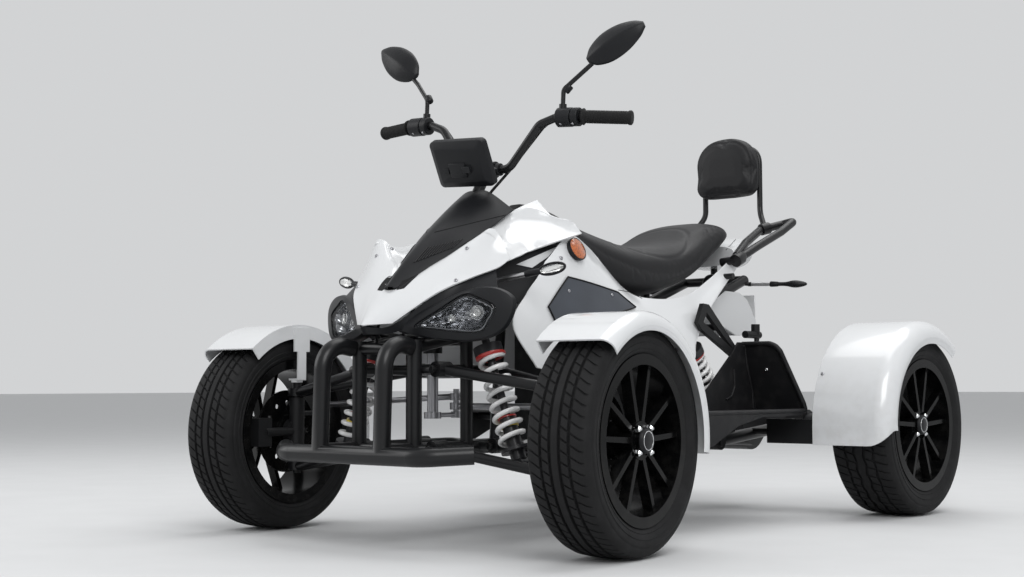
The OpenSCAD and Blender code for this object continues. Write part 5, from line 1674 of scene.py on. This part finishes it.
@dataclass
class Indicators:
    """Turn lamps: bright arm, black neck, and a framed lens in front or a slim body behind."""

    front: tuple[Point, Point] = ((200, 18, 644), (322, 44, 663))
    rear: tuple[Point, Point] = ((136, 1334, 706), (216, 1358, 704))
    arm_r: float = 6.5 * MM
    arm_share: float = 0.72
    rim_half: Pair = (35 * MM, 13 * MM)
    rim_r: float = 3.2 * MM
    front_half: Point = (33 * MM, 11.5 * MM, 8 * MM)
    front_out: float = 38 * MM
    body: Pairs = (
        (0, 8), (20, 8), (34, 10), (46, 13.5), (60, 14.5), (76, 11.5), (88, 7), (93, 3))
    rear_half: Point = (24 * MM, 8 * MM, 8 * MM)
    rear_out: float = 60 * MM
    least: float = 0.02

    def build(self) -> None:
        """Makes the four lamps."""
        arms, necks, lenses = Shape(), Shape(), Shape()
        for root, tip in (self.front, self.rear):
            a, b = Vector(at_front(root)), Vector(at_front(tip))
            way = (b - a).normalized()
            neck = a + (b - a) * self.arm_share
            arm, rest = (neck - a).length, (b - neck).length
            arms.lathe([(0, 0.0), (0, self.arm_r), (arm, self.arm_r), (arm, 0.0)], turned_to(a, way), 20)
            end = rest + 6 * MM
            necks.lathe([*mm((0, 0), (0, 8), (4, 9)), (rest, 8 * MM), (end, 6 * MM), (end, 0.0)],
                        turned_to(neck, way), 20)
        self.front_lens(necks, lenses)
        self.rear_body(necks, lenses)
        stands_for(arms.flipped().piece("indicator_arms", CHASSIS, Look.SATIN_ROD, 40.0), "indicator_stalks")
        necks.flipped().piece("indicator_bodies", CHASSIS, Look.COWL_BLACK, 40.0)
        glasses = lenses.flipped().piece("indicator_glasses", CHASSIS, Look.CLEAR_LENS, 60.0)
        stands_for(glasses, "indicator_lenses")

    def front_lens(self, frames: Shape, lenses: Shape) -> None:
        """An oval lens in a black rim, which faces ahead."""
        a, b = (Vector(at_front(p)) for p in self.front)
        way = (b - a).normalized()
        up = (Vector((0, 0, 1)) - way * way.z).normalized()
        out = way.cross(up)
        middle = b + way * self.front_out
        rim = oval(middle, way * self.rim_half[0], up * self.rim_half[1], 40)
        frames.tube(rim + rim[:1], self.rim_r, 8)
        wide, high, deep = self.front_half
        rows = []
        for t in (math.pi * k / 12 for k in range(13)):
            size = max(math.sin(t), self.least)
            rows.append(oval(middle + out * deep * math.cos(t), way * wide * size, up * high * size, 36))
        lenses.loft(rows)

    def rear_body(self, bodies: Shape, lenses: Shape) -> None:
        """A slim pointed body with a lens that faces back."""
        a, b = (Vector(at_front(p)) for p in self.rear)
        way = (b - a).normalized()
        up, facing = Vector((0, 0, 1)), Vector((0, 1, 0))
        out = way.cross(up).normalized()
        bodies.loft([oval(b + way * x * MM, out * r * MM, up * 0.8 * r * MM, 28)
                     for x, r in resample(self.body, 24)])
        wide, high, deep = self.rear_half
        middle = b + way * self.rear_out + facing * deep
        rows = []
        for t in (math.pi / 2 * k / 8 for k in range(9)):
            size = max(math.cos(t), self.least)
            rows.append(oval(middle + facing * deep * math.sin(t), way * wide * size, up * high * size, 32))
        lenses.loft(rows)


@dataclass
class SideReflectors:
    """Amber discs in black cups on the side panels, by their place on the panel's net."""

    across: Pair = (0.145, 0.19)
    radius: float = 29

    def build(self, net: Net) -> None:
        """Makes both reflectors on the side panel's net."""
        near = (-0.02, 0, 0.02)
        rows = at_front([[curve_at(np.array(row, float), self.across[0] + d) for d in near] for row in net])
        cell = np.array([curve_at(rows, self.across[1] + d) for d in near])
        place = turned_to(Vector(cell[1][1]), Vector(grid_normals(cell)[1][1]))
        r = self.radius
        disc = Shape().lathe(mm((5, 0), (5, r), (12, r), (13.5, r - 2), (14, 0)), place, 48)
        stands_for(disc.flipped().piece("reflector_discs", CHASSIS, Look.AMBER, 40.0), "side_reflectors")
        hollow = mm((-1, 0), (-1, r), (4, r + 2.6), (12, r + 2.6), (12.5, r + 0.6), (4.6, r + 0.4), (4.6, 0))
        cup = Shape().lathe(hollow, place, 48)
        cup.flipped().piece("reflector_cups", CHASSIS, Look.COWL_BLACK, 40.0)


@dataclass
class RearGuards:
    """Rear fenders: the node's own skin with the skirt's outer lower corner rounded."""

    corner: float = 66 * MM
    depth: float = 120 * MM
    past: float = 9 * MM
    plate_box: Pairs = ((-0.1, -0.1), (0.3, -0.1), (0.3, 0.12), (-0.1, 0.12))

    def build(self) -> None:
        """Cuts both corners and makes the brackets black."""
        points = np.array([v.co for v in NODES["rear_fenders"].data.vertices])
        left = points[points[:, 0] > 0]
        front, low = float(left[:, 1].min()), float(left[:, 2].min())
        wide = float(left[left[:, 2] < low + 60 * MM][:, 0].max())
        arc = [(wide - self.corner + self.corner * math.cos(a), low + self.corner - self.corner * math.sin(a))
               for a in (math.pi / 2 * k / 10 for k in range(11))]
        past = self.past
        outline = [(wide + past, low + self.corner), *arc,
                   (wide - self.corner, low - past), (wide + past, low - past)]
        ends = (front - past, front + self.depth)
        tool = Shape().loft([[(x, y, z) for x, z in outline] for y in ends]).flipped()
        foot = left[left[:, 2] < low + 80 * MM][:, 0]
        root, edge = float(foot.min()), float(foot[foot > foot.min() + 12 * MM].min())
        box = [(front + y, low + z) for y, z in self.plate_box]
        plates = Shape().prism(box, root - past, edge - 0.5 * MM).flipped()
        bracket = cut(node_shape("rear_fenders").mesh("plates"), plates, "INTERSECT")
        finish_piece(bracket, "rear_guard_plates", CHASSIS, Look.FRAME_BLACK, 40.0)
        mesh = cut(cut(node_shape("rear_fenders").mesh("guards"), tool), plates)
        piece = finish_piece(mesh, "rear_guards", CHASSIS, Look.GLOSS_WHITE, 42.0)
        stands_for(soft_edge(piece, 1.2 * MM), "rear_fenders")


@dataclass
class Footwells:
    """Footboards with inner wall, skirt and heel plate, in mm from the front axle."""

    thick: float = 6 * MM
    floor: Pairs = ((600, 309), (1148, 309), (1148, 315), (600, 315))
    inner: float = 256 * MM
    outer: float = 430 * MM
    wall: Pairs = (
        (796, 309), (1148, 309), (1084, 514), (1048, 514), (1018, 484), (836, 344))
    skirt: Pairs = (
        (600, 315), (600, 224), (640, 224), (770, 276), (900, 298), (1148, 300), (1148, 315))
    heel: Pairs = (
        (256, 0), (414, 0), (426, 10), (424, 30), (380, 190), (368, 206), (350, 214), (256, 214))
    heel_foot: Point = (0, 1154, 309)
    heel_lean: float = 19.0
    lip: Sequence[Point] = ((426, 600, 312), (426, 1140, 312))
    lip_r: float = 7 * MM
    lip_bend: float = 24 * MM

    def build(self) -> bpy.types.Object:
        """Makes both footwells.

        Returns:
            The piece, which stands for the node.
        """
        shape = Shape().prism(side_view(self.floor), self.inner, self.outer)
        shape.prism(side_view(self.wall), self.inner, self.inner + self.thick)
        shape.prism(side_view(self.skirt), self.outer - self.thick, self.outer)
        sine, cosine = math.sin(math.radians(self.heel_lean)), math.cos(math.radians(self.heel_lean))
        _, y, z = at_front(self.heel_foot)
        face = [[(x * MM, y - up * MM * sine - push * cosine, z + up * MM * cosine - push * sine)
                 for x, up in self.heel] for push in (0.0, self.thick)]
        shape.loft(face)
        lip = [tuple(p) for p in at_front(self.lip)] + face[1][2:8]
        shape.tube(rounded_path(lip, self.lip_bend), self.lip_r, 14)
        piece = soft_edge(shape.flipped().piece("footwell_trays", CHASSIS, Look.WELL_BLACK, 38.0), 2.5 * MM)
        stands_for(piece, "footwells")
        return piece


@dataclass
class Stays:
    """The stays behind the panels, drawn back where a panel of the scene lies lower."""

    shares: Sequence[float] = (1.0, 0.93, 0.86, 0.79, 0.72, 0.65, 0.58, 0.5)

    def build(self, panels: Iterable[bpy.types.Object]) -> None:
        """Makes the stays, each as long as its panel allows."""
        skin = Skin(*panels).tree
        stays = Shape()
        for points, faces in solids("panel_stays"):
            root = points[np.argmin(points[:, 2] * 2 + np.abs(points[:, 0]))]
            for share in self.shares:
                moved = root + (points - root) * share
                if not skin.overlap(BVHTree.FromPolygons([Vector(p) for p in moved], faces)):
                    break
            stays.add(moved, faces)
        stands_for(stays.piece("panel_stay_rods", CHASSIS, Look.FRAME_BLACK, 40.0), "panel_stays")


class Tread(Enum):
    """Tread patterns: how far the grooves weave, in metres, and the slant of the sipes."""

    STRAIGHT = (0.0, 0.62)
    ZIGZAG = (3.2 * MM, 0.35)


@dataclass
class Wheel:
    """One wheel: tread tyre, soft-edged rim, hub cap and nuts."""

    tag: str
    tread: Tread
    pitches: int = 66
    nuts: int = 4
    groove_depth: float = 6.5 * MM
    sipe_depth: float = 4.0 * MM
    steps: tuple[float, ...] = (0.0, 0.05, 0.17, 0.22, 0.52, 0.76)
    sipe_steps: tuple[float, ...] = (0.05, 0.17)
    shoulder: float = 21 * MM
    shoulder_rib: float = 7 * MM
    groove_half: Pair = (3.2 * MM, 4.2 * MM)
    crown_drop: float = 4.0 * MM
    bead_r: float = 195.5
    lower_side: Pairs = (
        (-12, -1), (-7, 5), (-4.6, 10), (-5.6, 11.5), (-2.6, 17), (-0.6, 24), (-1.9, 25.5))
    upper_side: Pairs = (
        (0, -34), (-0.8, -29), (-2.4, -27), (-2.2, -21), (-5.5, -13.5), (-11, -7.6))
    lining_r: Pair = (196 * MM, 206 * MM)
    cap_profile: Pairs = (
        (-2, 0), (-2, 29), (7, 28), (9, 25), (7.6, 23), (8.6, 20), (11, 9), (11, 0))
    ring_profile: Pairs = (
        (7.7, 22.6), (9.2, 22), (9.2, 20.8), (8.4, 20.2), (7.7, 22.6))
    nut_profile: Pairs = ((0, 0), (0, 8.5), (9, 8.5), (12, 6.5), (15, 3), (15, 0))
    nut_circle: float = 38 * MM
    nut_seat: float = 9 * MM
    hub_r: float = 32 * MM

    @property
    def body(self) -> str:
        """The body that carries this wheel."""
        return "wheel_" + self.tag

    def place(self) -> Matrix:
        """Frame at the wheel's middle, with +X outboard."""
        joint = JOINTS[self.body + "_spin"]
        middle, axis = Vector(joint["pos_m"]), Vector(joint["axis"]).normalized()
        out = axis if axis.x * middle.x > 0 else -axis
        up = Vector((0, 0, 1))
        ahead = up.cross(out)
        return Matrix(((out.x, ahead.x, 0, middle.x), (out.y, ahead.y, 0, middle.y),
                       (out.z, ahead.z, 1, middle.z), (0, 0, 0, 1)))

    def extent(self, node: str) -> Point:
        """Largest radius, and inner and outer reach along the axle, of a node."""
        back = self.place().inverted()
        local = np.array([back @ v.co for v in NODES[node].data.vertices])
        radius = np.hypot(local[:, 1], local[:, 2])
        return float(radius.max()), float(local[:, 0].min()), float(local[:, 0].max())

    def build(self) -> None:
        """Makes the tyre, rim and small pieces."""
        self.tyre()
        smooth_copy("rim_" + self.tag, Look.RIM, 32.0, 1.6 * MM)
        self.cap()

    def section(self, radius: float, half: float) -> list[tuple[float, float, float, str]]:
        """The tyre's section from the inner bead over the crown to the outer bead.

        Args:
            radius: the crown's radius.
            half: half the tyre's width.

        Returns:
            Rows of place along the axle, radius, groove depth and rib name.
        """
        crown = half - self.shoulder
        floor, lip = self.groove_half
        side = [(half + x, self.bead_r * MM + r) for x, r in mm(*self.lower_side)]
        side += [(half + x, radius + r) for x, r in mm(*self.upper_side)]
        rows = [(-x, r, 0.0, "side") for x, r in side]
        spacing = 2 * crown / 5
        rib = ("shoulder", "inner", "centre", "inner", "shoulder")
        marks = [(-crown, 0.0, "shoulder"), (-crown + self.shoulder_rib, 0.0, "shoulder")]
        for k in range(4):
            middle = (k - 1.5) * spacing
            marks += [(middle - lip, 0.0, rib[k]), (middle - floor, self.groove_depth, "groove"),
                      (middle + floor, self.groove_depth, "groove"), (middle + lip, 0.0, rib[k + 1])]
            if k < 3:
                marks.append((middle + spacing / 2, 0.0, rib[k + 1]))
        marks += [(crown - self.shoulder_rib, 0.0, "shoulder"), (crown, 0.0, "shoulder")]
        for x, depth, rib in marks:
            rows.append((x, radius - self.crown_drop * (x / crown) ** 2 - depth, depth, rib))
        rows += [(x, r, 0.0, "side") for x, r in reversed(side)]
        return rows

    def tyre(self) -> None:
        """Makes the tyre with grooves and slanted sipes."""
        node = "tyre_" + self.tag
        radius, inner, outer = self.extent(node)
        half = (outer - inner) / 2
        weave, slant = self.tread.value
        section = self.section(radius, half)
        place = self.place()
        columns = []
        for k in range(self.pitches):
            for share in self.steps:
                turn = 2 * math.pi * (k + share) / self.pitches
                swing = weave * (4 * abs((k + share) / 2 % 1 - 0.5) - 1)
                sipe = self.sipe_depth if share in self.sipe_steps else 0.0
                column = []
                for x, r, depth, rib in section:
                    shift = swing if rib not in ("side", "shoulder") else 0.0
                    deep = sipe if rib in ("shoulder", "inner") and not depth else 0.0
                    a = turn + slant * max(-half * 0.8, min(half * 0.8, x)) / radius
                    column.append(Vector((x + shift, (r - deep) * math.cos(a), (r - deep) * math.sin(a))))
                columns.append([place @ p for p in column + self.lining(half - 12 * MM, turn)])
        tyre = Shape().grid(columns, wrap_rows=True, wrap=True)
        stands_for(tyre.piece("road_tyre_" + self.tag, self.body, Look.TYRE, 34.0), node)

    def lining(self, half: float, turn: float) -> list[Vector]:
        """Inner skin of the tyre at one turn, from the outer bead to the inner one."""
        bead, well = self.lining_r
        return [Vector((x, r * math.cos(turn), r * math.sin(turn)))
                for x, r in ((half, bead), (half, well), (-half, well), (-half, bead))]

    def cap(self) -> None:
        """Hub cap with a ringed face, and wheel nuts round it."""
        place = self.place()
        face = self.hub_face()
        for name, profile, look, smooth in (("hub_cap_", self.cap_profile, Look.COWL_BLACK, 50.0),
                                            ("hub_ring_", self.ring_profile, Look.CHROME, 60.0)):
            turned = Shape().lathe([(face + x, r) for x, r in mm(*profile)], place, 36)
            turned.piece(name + self.tag, self.body, look, smooth)
        nuts = Shape()
        for k in range(self.nuts):
            a = 2 * math.pi * (k + 0.5) / self.nuts
            y, z = self.nut_circle * math.cos(a), self.nut_circle * math.sin(a)
            nuts.lathe(mm(*self.nut_profile), place @ Matrix.Translation((face - self.nut_seat, y, z)), 6)
        nuts.piece("wheel_nuts_" + self.tag, self.body, Look.CHROME, 30.0)

    def hub_face(self) -> float:
        """How far the hub stands out from the wheel's middle."""
        back = self.place().inverted()
        local = np.array([back @ v.co for v in NODES["rim_" + self.tag].data.vertices])
        near = np.hypot(local[:, 1], local[:, 2]) < self.hub_r
        return float(local[near, 0].max())


@dataclass
class SpringLeg:
    """Coil spring of one leg, its red seat and the bands on its damper."""

    points: np.ndarray
    name: str
    wire: float = 6 * MM
    per_turn: int = 30
    sides: int = 12
    turns: float = 8.0
    bands: Sequence[tuple[str, float, float, Look]] = (
        ("_red_band", 0.30, 4 * MM, Look.COLLAR_RED), ("_yellow_band", 0.20, 9 * MM, Look.BAND_YELLOW))

    def build(self) -> bpy.types.Object:
        """Makes the coil along the solid's own axis.

        Returns:
            The coil, which stands for no node by itself.
        """
        rod = Rod.of(self.points)
        reach = rod.reach - self.wire
        low, high = rod.low + self.wire, rod.high - self.wire
        side = rod.way.orthogonal().normalized()
        other = rod.way.cross(side)
        count = int(self.turns * self.per_turn)
        path = []
        for k in range(count + 1):
            a = 2 * math.pi * k / self.per_turn
            rise = low + (high - low) * k / count
            path.append(rod.middle + rod.way * rise + reach * (side * math.cos(a) + other * math.sin(a)))
        coil = Shape().tube(path, self.wire, self.sides).piece(self.name, CHASSIS, Look.SPRING_WHITE, 60.0)
        outer, inner = rod.reach + 1.5 * MM, reach - self.wire - 4 * MM
        ring = [(-9 * MM, inner), (-9 * MM, outer - 3 * MM), (-6 * MM, outer), (-0.4 * MM, outer),
                (-0.4 * MM, inner), (-9 * MM, inner)]
        collar = Shape().lathe(ring, rod.at(high + self.wire), 36)
        collar.piece(self.name + "_collar", CHASSIS, Look.COLLAR_RED, 50.0)
        r = reach - self.wire - 1 * MM
        for tag, share, wide, look in self.bands:
            place = rod.at(low + (high - low) * share)
            band = Shape().lathe([(0, 0.0), (0, r), (wide, r), (wide, 0.0)], place, 30)
            band.piece(self.name + tag, CHASSIS, look, 50.0)
        return coil


@dataclass
class Fasteners:
    """Bolts, vents and seams, placed where the picture shows them and mirrored to the other side."""

    studio: Studio
    panel_bolts: Sequence[Pixel] = (
        (362, 264), (376.6, 256), (391.8, 249), (355, 287), (456, 280.5), (561, 258))
    inlay_screws: Sequence[Pixel] = ((569, 291), (612, 295))
    heel_bolts: Sequence[Pixel] = ((766.6, 369.6),)
    rear_fender_bolts: Sequence[Pixel] = ((822.7, 373.8),)
    guard_bolts: Sequence[Pixel] = ((310.7, 347.4), (311, 357.2), (297.1, 324.2))
    vent: Sequence[Pixel] = ((413, 263), (426, 248), (463, 239), (454, 247.5))
    vent_slats: int = 12
    slat_r: float = 1.3 * MM
    slat_lift: float = 1.2 * MM
    shade_sheet_lift: float = 0.6 * MM
    underside_lift: float = 1.5 * MM
    seam_r: float = 0.9 * MM
    ridge_r: float = 3.5 * MM
    cowl_seam: Sequence[Pixel] = ((434.5, 232.3), (470, 223.5), (505.8, 214.9))
    tip_slot: Sequence[Pixel] = ((396.5, 290), (402, 281), (419, 274), (404, 288.5))
    underside: Sequence[Pixel] = ((506, 262.5), (562, 240.5), (548, 257), (532, 268))
    tail_seam: Sequence[Pixel] = ((726, 250), (737, 238))
    side_seam: Sequence[Pixel] = ((618, 290), (632, 292.5), (642, 298.5))
    ridges: Sequence[Sequence[Pixel]] = (
        ((744.3, 345.5), (746.9, 367.2), (751.9, 391), (753, 408.4)),
        ((733.5, 369.3), (734.5, 386.7), (731.3, 396.5), (725.9, 399.7)))

    def build(self, panels: Mapping[str, bpy.types.Object]) -> None:
        """Makes every bolt, vent and seam."""
        body = Skin(*(panels[n] for n in ("hood", "upper_wings", "cowl", "side_panels")))
        wells = Skin(panels["footwells"])
        for name, skin, pixels, r, look in (
                ("panel_bolts", body, self.panel_bolts, 5.5 * MM, Look.STEEL),
                ("inlay_screws", Skin(panels["side_inserts"]), self.inlay_screws, 4.5 * MM, Look.STEEL),
                ("heel_bolts", wells, self.heel_bolts, 5.5 * MM, Look.CHROME),
                ("rear_fender_bolts", Skin(NODES["rear_fenders"]), self.rear_fender_bolts, 5.5 * MM,
                 Look.STEEL)):
            self.heads(skin, pixels, r).flipped().piece(name, CHASSIS, look, 40.0)
        self.guard_bolt_sets()
        self.slats(body)
        # dark sheet over the cowl's slot: painted shade of the opening
        self.patch("cowl_slot_painted_shade", body, self.tip_slot, self.shade_sheet_lift, Look.DARK_SEAM_AND_SHADE)
        liner = Skin(bpy.data.objects["nose_liner"])
        self.patch("wing_underside", liner, self.underside, self.underside_lift, Look.GLOSS_WHITE)
        lines = Shape()
        for panel, line in (("cowl", self.cowl_seam), ("tail_cover", self.tail_seam),
                            ("side_panels", self.side_seam)):
            self.line(lines, Skin(panels[panel]), line, self.seam_r)
        lines.flipped().piece("panel_seams", CHASSIS, Look.DARK_SEAM_AND_SHADE, 60.0)
        ribs = Shape()
        for line in self.ridges:
            self.line(ribs, wells, line, self.ridge_r)
        ribs.flipped().piece("footwell_ribs", CHASSIS, Look.WELL_BLACK, 60.0)

    def line(self, shape: Shape, skin: Skin, pixels: Sequence[Pixel], radius: float) -> None:
        """Adds a thin bead along a line of the picture."""
        path = self.studio.trace(skin, pixels, 0.2 * radius)
        if len(path) > 2:
            shape.tube(path, radius, 8)

    def heads(self, skin: Skin, pixels: Sequence[Pixel], r: float) -> Shape:
        """Button heads on a skin.

        Args:
            skin: the faces that carry the bolts.
            pixels: where the picture shows them; one that meets no face is left out.
            r: radius of a head in metres.

        Returns:
            The heads on the side that the picture shows.
        """
        heads = Shape()
        for pixel in pixels:
            hit = skin.hit(*self.studio.ray(pixel))
            if hit:
                heads.lathe(bolt_profile(r), turned_to(*hit), 20)
            else:
                LOG.info("no face for the bolt at %s", pixel)
        return heads

    def guard_bolt_sets(self) -> None:
        """Bolts on the front fenders, each set riding with its own knuckle."""
        seen = Wheel("fr", Tread.STRAIGHT).place().inverted()
        skin = Skin(NODES["front_fender_right"])
        for side, tag, sign in (("right", "fr", 1), ("left", "fl", -1)):
            swap = Wheel(tag, Tread.STRAIGHT).place() @ Matrix.Diagonal((1, sign, 1, 1)) @ seen
            heads = self.heads(skin, self.guard_bolts, 6 * MM).moved(swap)
            heads.piece("guard_bolts_" + side, body_of("front_fender_" + side), Look.STEEL, 40.0)

    def patch(self, name: str, skin: Skin, quad: Sequence[Pixel], lift: float, look: Look) -> None:
        """A thin sheet over a four-sided field of the picture, on both sides of the vehicle.

        Args:
            name: the piece's name.
            skin: the faces that carry the sheet.
            quad: corners of the field in the picture.
            lift: height of the sheet's outer face above the skin in metres.
            look: its finish.
        """
        a, b, c, d = (np.array(p) for p in quad)
        rows = []
        for u in np.linspace(0, 1, 14):
            spots = [(a + (d - a) * u) * (1 - v) + (b + (c - b) * u) * v for v in np.linspace(0, 1, 8)]
            hits = [skin.hit(*self.studio.ray(tuple(spot))) for spot in spots]
            if all(hits):
                rows.append([spot + normal * lift for spot, normal in hits])
        if len(rows) > 2:
            Shape().sheet(np.array(rows), lift + 1.5 * MM).flipped().piece(name, CHASSIS, look, 60.0)

    def slats(self, skin: Skin) -> None:
        """A vent with slats beside the cowl, over a dark sheet of painted shade."""
        # dark sheet under the slats: painted shade of the vent's openings
        self.patch("vent_painted_shade", skin, self.vent, self.shade_sheet_lift, Look.DARK_SEAM_AND_SHADE)
        bars = Shape()
        a, b, c, d = (np.array(p) for p in self.vent)
        for k in range(self.vent_slats):
            u = (k + 0.5) / self.vent_slats
            ends = [tuple(a + (d - a) * u), tuple(b + (c - b) * u)]
            path = self.studio.trace(skin, ends, self.slat_lift, 5)
            if len(path) > 2:
                bars.tube(path, self.slat_r, 8)
        if bars.count:
            bars.flipped().piece("vent_slats", CHASSIS, Look.DAMPER_DARK, 60.0)


@dataclass
class Dress:
    """Finishes every node that no other class has taken."""

    soft_nodes: tuple[str, ...] = (
        "front_fender_left", "front_fender_right", "tail_lamp", "battery_pack", "brake_unit", "knuckle_left",
        "knuckle_right", "front_bumper", "handlebar")

    def build(self) -> None:
        """Soft-edged copies of the moulded pieces, then materials on the rest."""
        for node in self.soft_nodes:
            smooth_copy(node, SLOT_LOOKS[SLOTS[node]], 42.0, 1.4 * MM)
        for node, piece in NODES.items():
            piece.data.materials.clear()
            piece.data.materials.append(SLOT_LOOKS[SLOTS[node]].value.material())


def main() -> None:
    """Builds the studio and dresses each sub-assembly in turn."""
    logging.basicConfig(level=logging.INFO, format="%(name)s %(message)s")
    studio = Studio()
    studio.build()
    bodywork = Bodywork()
    panels = bodywork.build()
    Headlamps().build()
    Saddle().build()
    BackPad().build()
    RearRails().build()
    Controls().build()
    Indicators().build()
    SideReflectors().build(bodywork.side_net)
    Stays().build(list(panels.values()))
    RearGuards().build()
    panels["footwells"] = Footwells().build()
    for tag in ("fl", "fr"):
        Wheel(tag, Tread.STRAIGHT).build()
    for tag in ("rl", "rr"):
        Wheel(tag, Tread.ZIGZAG, pitches=60).build()
    coils = [SpringLeg(points, f"coil_{k}").build() for k, points in enumerate(loose_parts("springs"))]
    stands_for(coils[0], "springs")
    Fasteners(studio).build(panels)
    Dress().build()


if __name__ == "__main__":
    main()
